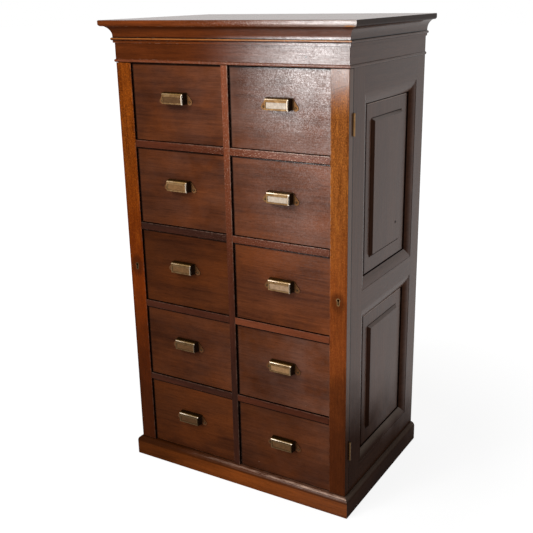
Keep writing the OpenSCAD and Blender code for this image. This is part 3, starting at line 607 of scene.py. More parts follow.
def flap_head_glare(board):
    """Where the upper end of a flap gets its painted glare and bloom, reaching lower at its inner edge."""
    lift = board.z + (board.x - FLAP_EDGE) * -0.6
    return lift.span(FRIEZE_FOOT - 75 * MM, FRIEZE_FOOT - 45 * MM, smooth=True)


def below_rail_top(board):
    """Distance below the upper edge of a drawer rail."""
    turns = board.math("DIVIDE", RAIL_HEAD + 0.01 * MM - board.z, RAIL_PITCH)
    return board.math("FRACT", turns) * RAIL_PITCH


def inside_muntin(board):
    """Distance from the muntin's right edge."""
    return abs(MUNTIN_EDGE - board.x)


def inside_flap(board):
    """Distance from a flap's inner edge."""
    return abs(board.x) - FLAP_EDGE


def margin_distance(board):
    """Distances of a place on a panel from the moulding in front, behind, below and above it."""
    upper = board.z > (MID_RAIL_FOOT + MID_RAIL_HEAD) / 2
    foot = board.pick(upper, PANEL_FOOT + MOULDING_WIDTH, MID_RAIL_HEAD + MOULDING_WIDTH)
    head = board.pick(upper, MID_RAIL_FOOT - MOULDING_WIDTH, PANEL_HEAD - MOULDING_WIDTH)
    front = board.y - (PANEL_FRONT + MOULDING_WIDTH)
    rear = PANEL_REAR - MOULDING_WIDTH - board.y
    return front, rear, board.z - foot, head - board.z


def panel_dirt_and_shade(board):
    """Dirt and painted shade along the moulding round a panel and along the foot of the bevel, and one dark
    knot.
    """
    front, rear, above, below = margin_distance(board)
    upright = above.least(below)
    line = (front * 0.24).least(rear * 0.5).least(upright).span(2.4 * MM, 3.4 * MM, 0.95, 0.0)
    inside = front.least(rear).least(upright)
    foot = inside.between(FIELD_INSET - 1.2 * MM, FIELD_INSET + 0.2 * MM, 0.6 * MM) * 0.8
    knot = board.away(board.y, board.z, PANEL_KNOT, (1.0, 2.0)).span(4 * MM, 8 * MM, 0.8, 0.0)
    return line.most(foot).most(knot * (board.x > 0.0))


# Paints, which take the surface and its colour so far


@prepared
def side_stain(board, colour, timber):
    """The stain of the framed sides, with painted shade at the foot and on faces turned to the front, dust
    with a painted highlight on upward faces, and dark along the joint behind the flap.
    """
    stain = board.blend(board.figure, timber.side_dark, timber.side_light)
    # Painted shade, darker low down and on faces turned to the front
    foot = side_lift(board).span(0.20, 0.42, 0.42, 1.0, smooth=True)
    stain = board.shaded(stain, foot * board.facing_y.span(-0.06, -0.6, 1.0, 0.5))
    # Dust with a painted highlight on upward faces, less of it higher up
    dust_and_highlight = board.facing_z.span(0.2, 0.6) * board.z.span(0.06, 0.5, 0.3, 0.25) * (board.z < TOP - 20 * MM)
    stain = board.blend(dust_and_highlight, stain, timber.side_dust_and_highlight)
    joint = abs(board.y - (FLAP_BACK + 0.5 * MM)).span(1.0 * MM, 2.2 * MM, 0.75, 0.0)
    return board.blend(joint * board.z.between(PLINTH_TOP, FRIEZE_FOOT, 1.0 * MM), stain, timber.grime_and_shade)


@prepared
def round_mitre(board, colour, timber):
    """The sides' stain, carried on to the front pieces' returns."""
    return board.blend(board.at_side, colour, side_stain(timber)(board, colour))


@prepared
def faded_top(board, colour, timber):
    """The upper face of the top board and its ends, faded to the sides' stain, the ends darker."""
    upper = on_top(board)
    stain = board.shaded(side_stain(timber)(board, colour), board.pick(upper, 0.35, 1.0))
    return board.blend(board.at_side.most(upper), colour, stain)


@prepared
def panel_paint(board, colour, timber):
    """The dirt and painted shade of a panel, and a painted highlight along the edge below the moulding at
    its head.
    """
    front, rear, above, below = margin_distance(board)
    # A painted highlight line along the margin below the head moulding
    rubbed = below.between(3.6 * MM, 4.8 * MM, 0.6 * MM) * front.least(rear).span(12 * MM, 16 * MM)
    colour = board.blend(rubbed * 0.7, colour, timber.worn_edge_and_highlight)
    return board.blend(panel_dirt_and_shade(board), colour, timber.grime_and_shade)


@prepared
def moulding_paint(board, colour, timber):
    """Dirt and painted shade on the low inner face of the mouldings, and dust with a painted highlight on
    the lowest of them.
    """
    inner = abs(board.x).span(HALF_WIDTH - 10.5 * MM, HALF_WIDTH - 9.5 * MM, 0.9, 0.0)
    colour = board.blend(inner, colour, timber.grime_and_shade)
    lowest = board.z < PANEL_FOOT + MOULDING_WIDTH
    return board.blend(lowest * board.facing_z.span(0.15, 0.45, 0.0, 0.5), colour, timber.side_dust_and_highlight)


@prepared
def banded(board, colour, tint, mask, amount):
    """An even band of another tone."""
    return board.blend(mask(board) * amount, colour, tint)


@prepared
def flakes_and_glints(board, colour, tint, mask, amount, sparse=0.0):
    """Pale flakes of old polish and painted glints on crackled varnish, as thick as the mask says, fewer of
    them if sparse is high.
    """
    return board.blend(board.age["Crackle"].span(sparse, 1.0) * mask(board) * amount, colour, tint)


@prepared
def streaks_and_highlight(board, colour, tint, mask, amount):
    """Long broken streaks of bare wood and painted highlight along a front edge."""
    streaks = board.noise(board.place, (30.0, 320.0, 420.0), detail=5.0, roughness=0.7)
    return board.blend(streaks.span(0.40, 0.58) * mask(board) * amount, colour, tint)


@prepared
def stain_round(board, colour, tint, centre, reach, stretch=(1.0, 1.0), amount=0.7):
    """A stain on the front that fades out from a centre given across and up."""
    ragged = min(6 * MM, reach * 0.25)
    far = board.away(board.x, board.z, centre, stretch) + board.age["Haze"].vary(-ragged, ragged)
    return board.blend(far.span(reach * 0.45, reach, amount, 0.0, smooth=True), colour, tint)


@prepared
def toned_across(board, colour, start, end, left, right):
    """Wood that goes from one tone to another between two places across the front."""
    return board.shaded(colour, board.x.span(start, end, left, right))


@prepared
def arris_wear_and_highlight(board, colour, tint, across, amount):
    """A rubbed line with a painted highlight along a rounded edge, at the distance that across gives, broken
    here and there.
    """
    line = across(board).span(1.6 * MM, 3.0 * MM, 1.0, 0.0)
    worn = board.noise(board.place, 70.0, detail=3.0, roughness=0.6).span(0.44, 0.62, 0.12, 1.0)
    front = board.facing_y.span(-0.1, -0.3)
    kept = upper_right(board).span(0.0, 0.6, 0.15, 1.0)
    return board.blend(line * worn * front * kept * amount, colour, tint)


@prepared
def rail_paint(board, colour, timber, tone):
    """Rails and muntin: nearly black where tone is nought and light where it is one, with painted shade on
    their upper and side faces.
    """
    shade = tone(board) + board.figure.vary(-0.15, 0.15)
    colour = board.blend(shade.span(0.0, 0.5), timber.rail_black, timber.rail_dark)
    colour = board.blend(shade.span(0.5, 1.0), colour, timber.rail_light)
    # Painted shade on the upper faces of the rails and the side faces of the muntin
    hidden = board.facing_z.most(abs(board.facing_x))
    return board.blend(hidden.span(0.75, 0.92, 0.0, 0.95), colour, timber.grime_and_shade)


def rail_tone(board):
    """Every second rail at the left is dark. Those at the right are light, the third most of all."""
    number = board.math("FLOOR", board.math("DIVIDE", RAIL_HEAD + MM - board.z, RAIL_PITCH))
    third = board.math("COMPARE", number, 2.0, 0.1)
    left = board.math("MODULO", number, 2.0).vary(0.55, 0.12) - third * 0.22
    right = board.z.span(0.3, 0.9, 0.4, 0.75) + third * 0.3
    return board.pick(board.x > 0.0, left, right)


def muntin_tone(board):
    return board.z.span(0.35, 1.05, 0.12, 0.95)


@prepared
def flame_paint(board, colour, tint, dark, red):
    """Wavering flames in the figure of a flap, redder below, and a peppering of open pores."""
    flame = board.noise(board.place, (38.0, 1.0, 9.0), detail=4.0, roughness=0.6, distortion=1.4)
    colour = board.blend(flame.span(0.50, 0.72, 0.0, 0.6, smooth=True), colour, tint)
    colour = board.blend(flame.span(0.48, 0.30, 0.0, 0.55, smooth=True), colour, dark)
    colour = board.blend(board.z.span(0.50, 0.95, 0.8, 0.0, smooth=True), colour, red)
    pepper = board.noise(board.place, (620.0, 1.0, 300.0), detail=1.0)
    open_grain = board.z.span(0.6, 0.95, 0.3, 1.0)
    colour = board.blend(pepper.span(0.44, 0.28, 0.0, 0.8) * open_grain, colour, times(tint, 1.25))
    return board.blend(pepper.span(0.58, 0.70, 0.0, 0.7) * open_grain, colour, times(dark, 0.6))


@prepared
def foot_paint(board, colour, timber, tone):
    """The foot of a flap, darker towards the floor, dirt near its outer edge and painted shade on its inner
    edge face.
    """
    light = times(timber.flap_foot, tone)
    lift = board.z + board.age["Haze"].vary(-0.1, 0.1)
    colour = board.blend(lift.span(0.20, 0.62, 0.9, 0.0, smooth=True), colour,
                         board.blend(board.figure, times(light, 0.72), light))
    out = abs(board.x)
    rim = out.between(HALF_WIDTH - 4.5 * MM, HALF_WIDTH - 3.5 * MM, 1.5 * MM) * 0.25
    # Painted shade on the flap's inner edge face
    inner = abs(board.facing_x).span(0.75, 0.92, 0.0, 0.95) * (out < FLAP_EDGE + 2 * MM)
    return board.blend(rim.most(inner), colour, timber.grime_and_shade)


@prepared
def edge_paint(board, colour, timber):
    """The outer edge of a flap, rubbed paler than the side behind it."""
    front = board.y < FLAP_BACK - 2.5 * MM
    return board.blend(board.at_side * front * board.z.span(0.2, 0.5, 0.0, 0.3), colour, timber.worn_edge_and_highlight)


@prepared
def scratch_paint(board, colour, timber):
    """Scratches across the top of the right flap."""
    slope = board.z - board.x * 0.35 + board.noise(board.place, 60.0).vary(-2.5 * MM, 2.5 * MM)
    lines = slope.between(0.9842, 0.9848, 0.5 * MM).most(slope.between(0.9762, 0.9766, 0.4 * MM) * 0.6)
    return board.blend(lines * board.x.between(0.289, 0.322, 2 * MM) * 0.85, colour, timber.grime_and_shade)


@prepared
def warm_patches(board, colour, tint, amount):
    """Clouds of a warmer tone, drawn out along the grain."""
    cloud = board.noise(board.place, (6.0, 1.0, 13.0), detail=4.0, roughness=0.55)
    return board.blend(cloud.span(0.44, 0.62, 0.0, amount), colour, tint)


@prepared
def bloomed_with_glare(board, colour, tint, amount, low, high):
    """Greyish bloom of the polish with a painted glare, thicker towards the upper right of a drawer front.
    """
    thick = board.x.span(low.x, high.x, 0.25, 1.0) * board.z.span(low.z, high.z, 0.7, 1.0)
    cloud = board.noise(board.place, 11.0, detail=5.0, roughness=0.65)
    return board.blend(thick * cloud.span(0.3, 0.66) * amount * 1.6, colour, tint)


@prepared
def worn_rim(board, colour, timber, amount, low, high):
    """A drawer front's ends, hazed by handling, a painted shadow along its upper and left edges, and its
    small pale knocks.
    """
    inside = (board.x - low.x).least(high.x - board.x)
    rim = inside.span(2 * MM, 14 * MM, 1.0, 0.0) * board.age["Haze"] * amount
    colour = board.blend(rim, colour, timber.worn_edge_and_highlight)
    colour = board.blend(board.age["Speck"] * 0.35, colour, timber.worn_edge_and_highlight)
    # Painted shadow along the upper edge, under the piece above, and along the left edge, beside the piece
    # at the left
    upper = board.z.span(high.z - 4.6 * MM, high.z - 2.6 * MM, 0.0, 0.9)
    left = board.x.span(low.x + 2.0 * MM, low.x + 4.0 * MM, 0.9, 0.0)
    return board.blend(upper.most(left), colour, timber.grime_and_shade)


# Metal and card


def age_brass(nodes, fittings, name, bright, aged, tarnish, paints=(), reach=5 * MM):
    """Dresses nodes in brass dulled by age, nearly black in its corners and rubbed bright on its edges."""
    board = Surface(name, edge=0.6 * MM, reach=reach)
    patches = board.noise(board.place, 75.0, detail=3.0)
    dull = patches.span(0.62 - tarnish * 0.3, 0.76 - tarnish * 0.3, 1.0, 0.86)
    dull = board.math("SUBTRACT", dull, board.wear["Edge"] * 0.18, clamp=True)
    colour = board.blend(dull, times(fittings.brass_bright, bright), times(fittings.brass_aged, aged))
    for paint in paints:
        colour = paint(board, colour)
    dress(nodes, board.finished({
        "Base Color": board.blend(board.wear["Corner"] * 0.92, colour, fittings.brass_black),
        "Metallic": 1.0,
        "Roughness": dull.vary(0.28, 0.48),
    }, board.age["Mottle"], 0.1, 0.2 * MM))


@prepared
def hood_paint(board, colour, fittings, gilt, middle, lip_highlight, rubbed):
    """A pull's hood: olive along its rounded upper edge, with a painted highlight, partly rubbing, along it
    and down its right front corner, and painted shade on its top and its ends.
    """
    aside = board.x - middle
    level = board.facing_z.between(0.26, 0.52, 0.1)
    colour = board.blend(level * 0.8, colour, gilt)
    strength = aside.span(-24 * MM, 6 * MM, 1.0, 0.22, smooth=True).most(aside.span(26 * MM, 29 * MM))
    corner = aside.between(29.0 * MM, 31.6 * MM, 0.6 * MM) * board.facing_z.span(0.5, 0.3) * rubbed
    # Painted highlight, partly rubbed brass, along the lip and down the right front corner
    colour = board.blend((level * strength * lip_highlight).most(corner), colour, fittings.brass_rubbed_and_highlight)
    # Painted shade on the top of the hood and on its ends
    colour = board.blend(board.facing_z.span(0.62, 0.78, 0.0, 0.95), colour, times(gilt, 0.6))
    end = abs(board.facing_x).span(0.6, 0.9, 0.0, 0.92)
    return board.blend(end, colour, times(fittings.brass_black, 3.2))


@prepared
def ear_paint(board, colour, tint, middle, amount):
    """The ears of a pull, browned by tarnish and by painted shade, deeper in the lower rows, as far as the
    amount says.
    """
    ears = abs(board.x - middle).span(PULL_HALF - 0.5 * MM, PULL_HALF + 0.5 * MM, 0.0, amount)
    return board.blend(ears, colour, tint)


def shaded_foot(board, colour):
    """Brass with painted shade, darker towards the floor."""
    return board.shaded(colour, board.z.span(0.15, 0.95, 0.35, 1.0))


def old_metal(name, tint, roughness):
    """Dark metal of the small screws and nails."""
    board = Surface(name, edge=0.4 * MM, reach=2 * MM)
    crackle = board.age["Crackle"]
    return board.finished({
        "Base Color": board.shaded(tint, crackle.vary(1.0, 0.6) * board.wear["Edge"].vary(0.9, 1.6)),
        "Metallic": 1.0,
        "Roughness": board.age["Mottle"].vary(roughness - 0.1, roughness + 0.1),
    }, crackle, 0.2, 0.1 * MM)


def label_card(name, tint):
    """Blank card, browned and rubbed in patches, with painted shade where the frame closes over it."""
    board = Surface(name)
    browned = times(tint, 0.6)
    stain = board.noise(board.place, 120.0, detail=4.0, roughness=0.65)
    fibres = board.noise(board.place, 1500.0)
    colour = board.blend(stain.span(0.35, 0.75), tint, browned)
    colour = board.blend(fibres.span(0.4, 0.7, 0.0, 0.16), colour, browned)
    return board.finished({
        # Painted shade where the frame closes over the card
        "Base Color": board.blend(board.wear["Corner"] * 0.9, colour, times(browned, 0.4)),
        "Roughness": stain.span(0.3, 0.7, 0.42, 0.62),
        "Specular IOR Level": 0.05,
        "Coat Weight": DRAWER_GLOSS(board) * 0.5,
        "Coat Roughness": 0.3,
    }, fibres, 0.2, 0.1 * MM)


# Modelling


def clear_selection():
    if bpy.context.object and bpy.context.object.mode != "OBJECT":
        bpy.ops.object.mode_set(mode="OBJECT")
    bpy.ops.object.select_all(action="DESELECT")


def activate(*pieces):
    """Selects the pieces and nothing else, and makes the first one active."""
    clear_selection()
    for piece in pieces:
        piece.select_set(True)
    bpy.context.view_layer.objects.active = pieces[0]


def pick_upper_faces(piece):
    """Selects the upper faces of the active piece, and nothing else, for editing."""
    bpy.ops.object.mode_set(mode="EDIT")
    bpy.ops.mesh.select_mode(type="FACE")
    bpy.ops.mesh.select_all(action="DESELECT")
    bpy.ops.object.mode_set(mode="OBJECT")
    for face in piece.data.polygons:
        face.select = face.normal.z > 0.9
    bpy.ops.object.mode_set(mode="EDIT")


def settle(piece):
    """Moves the piece's place, turn and size into its mesh."""
    activate(piece)
    bpy.ops.object.transform_apply(location=True, rotation=True, scale=True)


def modified(piece, kind, **settings):
    """Adds a modifier to the piece and applies it."""
    modifier = piece.modifiers.new(kind.lower(), kind)
    for name, value in settings.items():
        setattr(modifier, name, value)
    activate(piece)
    bpy.ops.object.modifier_apply(modifier=modifier.name)


def copy_of(pattern, place, turn=None):
    """A copy of a modelled pattern with its own mesh, moved into place."""
    twin = pattern.copy()
    twin.data = pattern.data.copy()
    bpy.context.collection.objects.link(twin)
    twin.data.transform(Matrix.Translation(place) @ (turn or Matrix.Identity(4)))
    return twin


def discard(piece):
    bpy.data.objects.remove(piece, do_unlink=True)


def finish_pieces(pieces, name, body, material):
    """Joins the pieces into one, smooths and names it, and hands it to its body and material slot."""
    activate(*pieces)
    if len(pieces) > 1:
        bpy.ops.object.join()
    piece = bpy.context.view_layer.objects.active
    activate(piece)
    bpy.ops.object.shade_smooth_by_angle(angle=SMOOTH_ANGLE)
    piece.name = name
    piece.data.name = name
    piece.data.materials.clear()
    piece.data.materials.append(material)
    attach(piece, body)


def head_pattern(radius, rise, dome):
    """A round head on the floor, flat with a narrow rim or domed."""
    clear_selection()
    bpy.ops.mesh.primitive_cylinder_add(vertices=32, radius=radius, depth=rise, location=(0, 0, rise / 2))
    head = bpy.context.object
    settle(head)
    pick_upper_faces(head)
    for part, lift in ((0.22, 0.14), (0.24, 0.10), (0.27, 0.05)) if dome else ((0.12, 0.0),):
        bpy.ops.mesh.inset(thickness=radius * part, depth=rise * lift)
    bpy.ops.object.mode_set(mode="OBJECT")
    if dome:
        modified(head, "BEVEL", width=rise * 0.45, segments=3, limit_method="ANGLE",
                 angle_limit=math.radians(60))
    return head


def screw_pattern(radius, rise, slot_width, dome):
    """A slotted screw head that points towards -Y, with its seat at the origin."""
    head = head_pattern(radius, rise, dome)
    clear_selection()
    bpy.ops.mesh.primitive_cube_add(size=1, location=(0, 0, rise * (1.05 if dome else 0.9)))
    blade = bpy.context.object
    blade.scale = (radius * 3, slot_width, rise * 0.9)
    settle(blade)
    modified(head, "BOOLEAN", operation="DIFFERENCE", solver="EXACT", object=blade)
    discard(blade)
    head.data.transform(Matrix.Rotation(math.radians(90), 4, "X"))
    return head


def screws_at(pattern, places, first=0, back=False):
    """Copies of a screw at the places, counted from first, each with its slot at rest at its own angle."""
    facing = Matrix.Rotation(math.radians(180 if back else 0), 4, "Z")
    return [copy_of(pattern, Vector(place), facing @ Matrix.Rotation(FIRST_SPIN + SPIN_STEP * count, 4, "Y"))
            for count, place in enumerate(places, first)]


# Operators


class CABINET_OT_polish_case(bpy.types.Operator):
    """Polish the top, cornice, frieze, plinth, rails and sides"""

    bl_idname = "cabinet.polish_case"
    bl_label = "Polish the case"

    def execute(self, context):
        timber = context.scene.cabinet_timber
        self.polish_head(timber)
        self.polish_plinth(timber)
        self.polish_rails(timber)
        self.polish_sides(timber)
        return {"FINISHED"}

    def polish_head(self, timber):
        worn, grime_and_shade, side = timber.worn_edge_and_highlight, timber.grime_and_shade, round_mitre(timber)

        def case(tone):
            return times(timber.case_light, tone), times(timber.case_dark, tone)

        frieze = (banded(timber.rail_light, bead_mask(FRIEZE_FOOT, 1.5, 6.5), 0.6),
                  # Pale flakes and painted glints on the bead, growing to the right, and painted shade along
                  # the frieze's underside
                  flakes_and_glints(worn, bead_mask(FRIEZE_FOOT, 0, 7, growing=(-0.34, 0.05)), 0.7),
                  banded(grime_and_shade, bead_mask(FRIEZE_FOOT, -1, 1.2, 0.6), 0.85),
                  stain_round(grime_and_shade, (0.222, FRIEZE_FOOT + 23 * MM), 3.2 * MM, amount=0.9), side)
        polish(["frieze"], timber, "frieze", trim_grain, *case(0.72), frieze,
               trim_gloss((-0.12, 0.28), (0.9, 1.1), 0.8))
        bead = CORNICE_FOOT + 9.5 * MM
        # Golden painted highlight on the bead's upper half; painted shade in the quirks below and above it,
        # under the top's edge and in the quirk on the sides
        cornice = (banded(timber.golden_highlight_and_chip, bead_mask(bead, 0.5, 2.0, 0.7, (-0.7, 0.2)), 0.85),
                   banded(grime_and_shade, bead_mask(bead, -4.2, -2.2, 0.7), 0.75),
                   banded(grime_and_shade, bead_mask(bead, 3.6, 4.8, 0.7), 0.6),
                   banded(grime_and_shade, bead_mask(TOP, -20, 0, 5), 0.45), side,
                   banded(grime_and_shade, height_mask(bead, 3.0, 5.0, 1.0), 0.7))
        polish(["cornice"], timber, "cornice", trim_grain, *case(0.9), cornice,
               trim_gloss((-0.1, 0.34), (1.0, 1.1), 1.0))
        # Pale flakes and a bluish pale band along the top's front edge, growing to the right: wear with
        # painted glints and glare
        slab = (flakes_and_glints(worn, bead_mask(TOP, -16, 0, growing=(-0.15, 0.36)), 1.1),
                banded(times(worn, (1.0, 1.25, 1.5)), bead_mask(TOP, -16, 0, growing=(0.08, 0.36)), 0.8),
                stain_round(timber.golden_highlight_and_chip, (0.340, TOP - 14.5 * MM), 9 * MM, (0.45, 1.8), 0.8),
                faded_top(timber))
        polish(["top_board"], timber, "top", grain_along("X", (0.0, 2.0, 0.0)), *case(1.2), slab,
               top_sheen, worn=1.5)

    def polish_plinth(self, timber):
        worn = timber.worn_edge_and_highlight
        paints = (toned_across(-0.25, 0.0, 0.64, 1.3),
                  banded(times(timber.plinth_dark, 0.62), bead_mask(PLINTH_TOP, -12, 1, 5), 0.75),
                  # Pale band and thin bright line on the plinth's rounded top, growing to the right: wear
                  # and painted highlight
                  streaks_and_highlight(worn, bead_mask(PLINTH_TOP, -8, 1, 3, (-0.2, 0.3)), 0.26),
                  streaks_and_highlight(times(worn, 1.6), bead_mask(PLINTH_TOP, -3.6, -1.2, 1, (-0.15, 0.3)), 0.85),
                  round_mitre(timber))
        polish(["plinth"], timber, "plinth", trim_grain, timber.plinth_light, timber.plinth_dark, paints,
               trim_gloss((0.0, 0.36), (-1.0, 0.0), 0.14))

    def polish_rails(self, timber):
        # Pale flakes and painted glints, thickest at the upper right
        crackle = flakes_and_glints(times(timber.worn_edge_and_highlight, 2.0), upper_right, 1.6, 0.5)
        for nodes, name, grain, tone, across in (
                (["drawer_rails"], "rails", grain_along("X", (0.0, 2.0, 0.0)), rail_tone, below_rail_top),
                (["front_muntin", "front_posts"], "muntin", grain_along("Z", (1.3, 0.0, 0.0)), muntin_tone,
                 inside_muntin)):
            paints = (rail_paint(timber, tone), crackle, arris_wear_and_highlight(timber.worn_edge_and_highlight, across, 0.8))
            polish(nodes, timber, name, grain, timber.rail_light, timber.rail_dark, paints, worn=0.4)

    def polish_sides(self, timber):
        stain = side_stain(timber)
        upright = grain_along("Z", (0.0, 9.0, 0.0))
        for nodes, name, grain, paints, sheen in (
                (["left_side_frame", "right_side_frame"], "side", frame_grain, (stain,), side_sheen),
                (["panel_mouldings"], "moulding", frame_grain, (stain, moulding_paint(timber)), side_sheen),
                (["side_panels"], "panel", upright, (stain, panel_paint(timber)), panel_sheen)):
            polish(nodes, timber, name, grain, timber.side_light, timber.side_dark, paints, sheen,
                   worn=0.15, reach=7 * MM)


class CABINET_OT_polish_flaps(bpy.types.Operator):
    """Polish the two locking flaps, golden above and dark at the foot"""

    bl_idname = "cabinet.polish_flaps"
    bl_label = "Polish the flaps"

    def execute(self, context):
        timber = context.scene.cabinet_timber
        for count, column in enumerate(COLUMNS):
            light, dark, flame, red = (
                times(tint, FLAP_TONES[column])
                for tint in (timber.flap_light, timber.flap_dark, timber.flap_flame, timber.flap_red))
            key = (SIGNS[column] * KEY_X, KEY_Z)
            paints = [flame_paint(flame, times(dark, 0.7), red),
                      foot_paint(timber, FLAP_FOOT_TONES[column]),
                      stain_round(times(timber.flap_foot, 0.6), key, 26 * MM, (1.0, 0.75), 0.6),
                      arris_wear_and_highlight(timber.worn_edge_and_highlight, inside_flap, 0.6)]
            if column == "right":
                # Painted glare and bloom on the right flap's head, and its scratches
                paints += [banded(timber.bloom_and_glare, flap_head_glare, 0.55), scratch_paint(timber)]
            paints += [round_mitre(timber), edge_paint(timber)]
            grain = grain_along("Z", (0.0, 7.0 + 3 * count, 0.0))
            polish([f"{column}_flap"], timber, f"{column}_flap", grain, light, dark, paints,
                   trim_gloss((-0.2, 0.2), (1.02, 1.13), 0.7), worn=0.4)
        return {"FINISHED"}


class CABINET_OT_polish_drawers(bpy.types.Operator):
    """Polish the drawer fronts, each cut from its own board"""

    bl_idname = "cabinet.polish_drawers"
    bl_label = "Polish the drawer fronts"

    def execute(self, context):
        timber = context.scene.cabinet_timber
        for drawer, column, row in DRAWERS:
            light, dark, red = (times(tint, DRAWER_TONES[column][row - 1])
                                for tint in (timber.drawer_light, timber.drawer_dark, timber.drawer_red))
            bloom = DRAWER_BLOOM_AND_GLARE[column][row - 1]
            low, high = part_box(f"{drawer}_front")
            pull_low, pull_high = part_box(f"{drawer}_pull")
            # Centre of a dark halo set to the pull's lower right: handling dirt and the pull's painted
            # shadow
            pull_dirt_and_shadow = ((pull_low.x + pull_high.x) / 2 + 6 * MM, (pull_low.z + pull_high.z) / 2 - 5 * MM)
            paints = (warm_patches(red, 0.45),
                      toned_across(low.x, high.x, 0.78, 1.22),
                      bloomed_with_glare(timber.bloom_and_glare, bloom, low, high),
                      stain_round(timber.grime_and_shade, pull_dirt_and_shadow, 58 * MM, (1.0, 1.9), 0.36),
                      worn_rim(timber, 0.2 * bloom, low, high))
            grain = grain_along("X", (2.3 * row, 1.1 * row, 4.7 * SIGNS[column]))
            polish([f"{drawer}_front"], timber, drawer, grain, light, dark, paints)
        return {"FINISHED"}


class CABINET_OT_plain_timber(bpy.types.Operator):
    """Finish the drawer boxes and the hidden boards as plain timber"""

    bl_idname = "cabinet.plain_timber"
    bl_label = "Finish the plain timber"

    def execute(self, context):
        timber = context.scene.cabinet_timber
        deal = (timber.deal_light, timber.deal_dark)
        boxes = [f"{drawer}_box" for drawer, column, row in DRAWERS]
        level = ["bottom_board", "sub_top", "drawer_runners", "drawer_stops", "plinth_bearers"]
        leave_plain(boxes, "drawer_oak", "Y", timber.oak_light, timber.oak_dark)
        leave_plain(["back_boards", "centre_divider"], "deal_upright", "Z", *deal)
        leave_plain(level, "deal_level", "Y", *deal)
        return {"FINISHED"}


class CABINET_OT_age_brass(bpy.types.Operator):
    """Age the pulls, hinges, locks and escutcheons"""

    bl_idname = "cabinet.age_brass"
    bl_label = "Age the brass"

    def execute(self, context):
        fittings = context.scene.cabinet_fittings
        low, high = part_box("drawer_right_1_pull")
        for drawer, column, row in DRAWERS:
            tone = PULL_TONES_AND_SHADE[column][row - 1]
            middle = SIGNS[column] * (low.x + high.x) / 2
            rubbed = max(0.0, 1.1 - 0.25 * row)
            gilt = times(fittings.brass_gilt, tone)
            paints = (hood_paint(fittings, gilt, middle, PULL_LIP_HIGHLIGHTS[column][row - 1], rubbed),
                      ear_paint(fittings.brass_browned_and_shaded, middle, 0.5 + 0.1 * row))
            age_brass([f"{drawer}_pull"], fittings, f"brass_{drawer}", tone, tone, 0.5 + 0.08 * row, paints)
        locks = ["left_lock", "right_lock", "left_bolt", "right_bolt", "lock_staples"]
        age_brass(locks, fittings, "fitting_brass", bright=1.0, aged=1.0, tarnish=0.9)
        hinges = ["left_flap_leaves", "right_flap_leaves", "carcass_leaves"]
        age_brass(hinges, fittings, "hinge_brass", bright=0.7, aged=1.5, tarnish=0.6, paints=[shaded_foot],
                  reach=MM)
        for side, tone in RIM_TONES.items():
            rim = [f"{side}_escutcheon"]
            age_brass(rim, fittings, f"{side}_rim_brass", tone, tone, tarnish=0.5, reach=MM)
        return {"FINISHED"}


class CABINET_OT_label_cards(bpy.types.Operator):
    """Slide a blank card into the label frame of each pull"""

    bl_idname = "cabinet.label_cards"
    bl_label = "Add the label cards"

    def execute(self, context):
        fittings = context.scene.cabinet_fittings
        pattern = self.card_pattern(fittings)
        clean, tan, browned = (
            Vector(tint) for tint in (fittings.card_clean, fittings.card_tan, fittings.card_browned))
        for drawer, column, row in DRAWERS:
            low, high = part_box(f"{drawer}_pull")
            middle = (low.x + high.x) / 2 + SIGNS[column] * CARD_OUTWARD
            card = copy_of(pattern, Vector((middle, low.y + CARD_BEHIND, high.z - CARD_DROP)))
            age = CARD_BROWNING[column][row - 1] * 2
            tint = clean.lerp(tan, age) if age < 1 else tan.lerp(browned, age - 1)
            finish_pieces([card], f"{drawer}_card", drawer, label_card(f"card_{column}_{row}", tint))
        discard(pattern)
        return {"FINISHED"}

    def card_pattern(self, fittings):
        """An upright card with rounded corners."""
        clear_selection()
        bpy.ops.mesh.primitive_plane_add(size=1, rotation=(math.radians(90), 0, 0))
        card = bpy.context.object
        card.scale = (fittings.card_width, fittings.card_height, 1)
        settle(card)
        bpy.ops.object.mode_set(mode="EDIT")
        bpy.ops.mesh.select_all(action="SELECT")
        bpy.ops.mesh.bevel(affect="VERTICES", offset=CARD_CORNER, segments=3)
        bpy.ops.mesh.inset(thickness=CARD_BORDER, depth=0)
        bpy.ops.object.mode_set(mode="OBJECT")
        modified(card, "SOLIDIFY", thickness=fittings.card_thickness, offset=0)
        return card


class CABINET_OT_pull_screws(bpy.types.Operator):
    """Screw each pull to its drawer front through both ears"""

    bl_idname = "cabinet.pull_screws"
    bl_label = "Add the pull screws"

    def execute(self, context):
        fittings = context.scene.cabinet_fittings
        pattern = screw_pattern(fittings.screw_radius, fittings.screw_rise, fittings.slot_width, dome=True)
        brass = old_metal("screw_brass", fittings.screw_tint, 0.42)
        for count, (drawer, column, row) in enumerate(DRAWERS):
            low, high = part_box(f"{drawer}_pull")
            places = [(x, high.y - PULL_EAR_THICKNESS, low.z + PULL_SCREW_INSET)
                      for x in (low.x + PULL_SCREW_INSET, high.x - PULL_SCREW_INSET)]
            finish_pieces(screws_at(pattern, places, 2 * count), f"{drawer}_pull_screws", drawer, brass)
        discard(pattern)
        return {"FINISHED"}


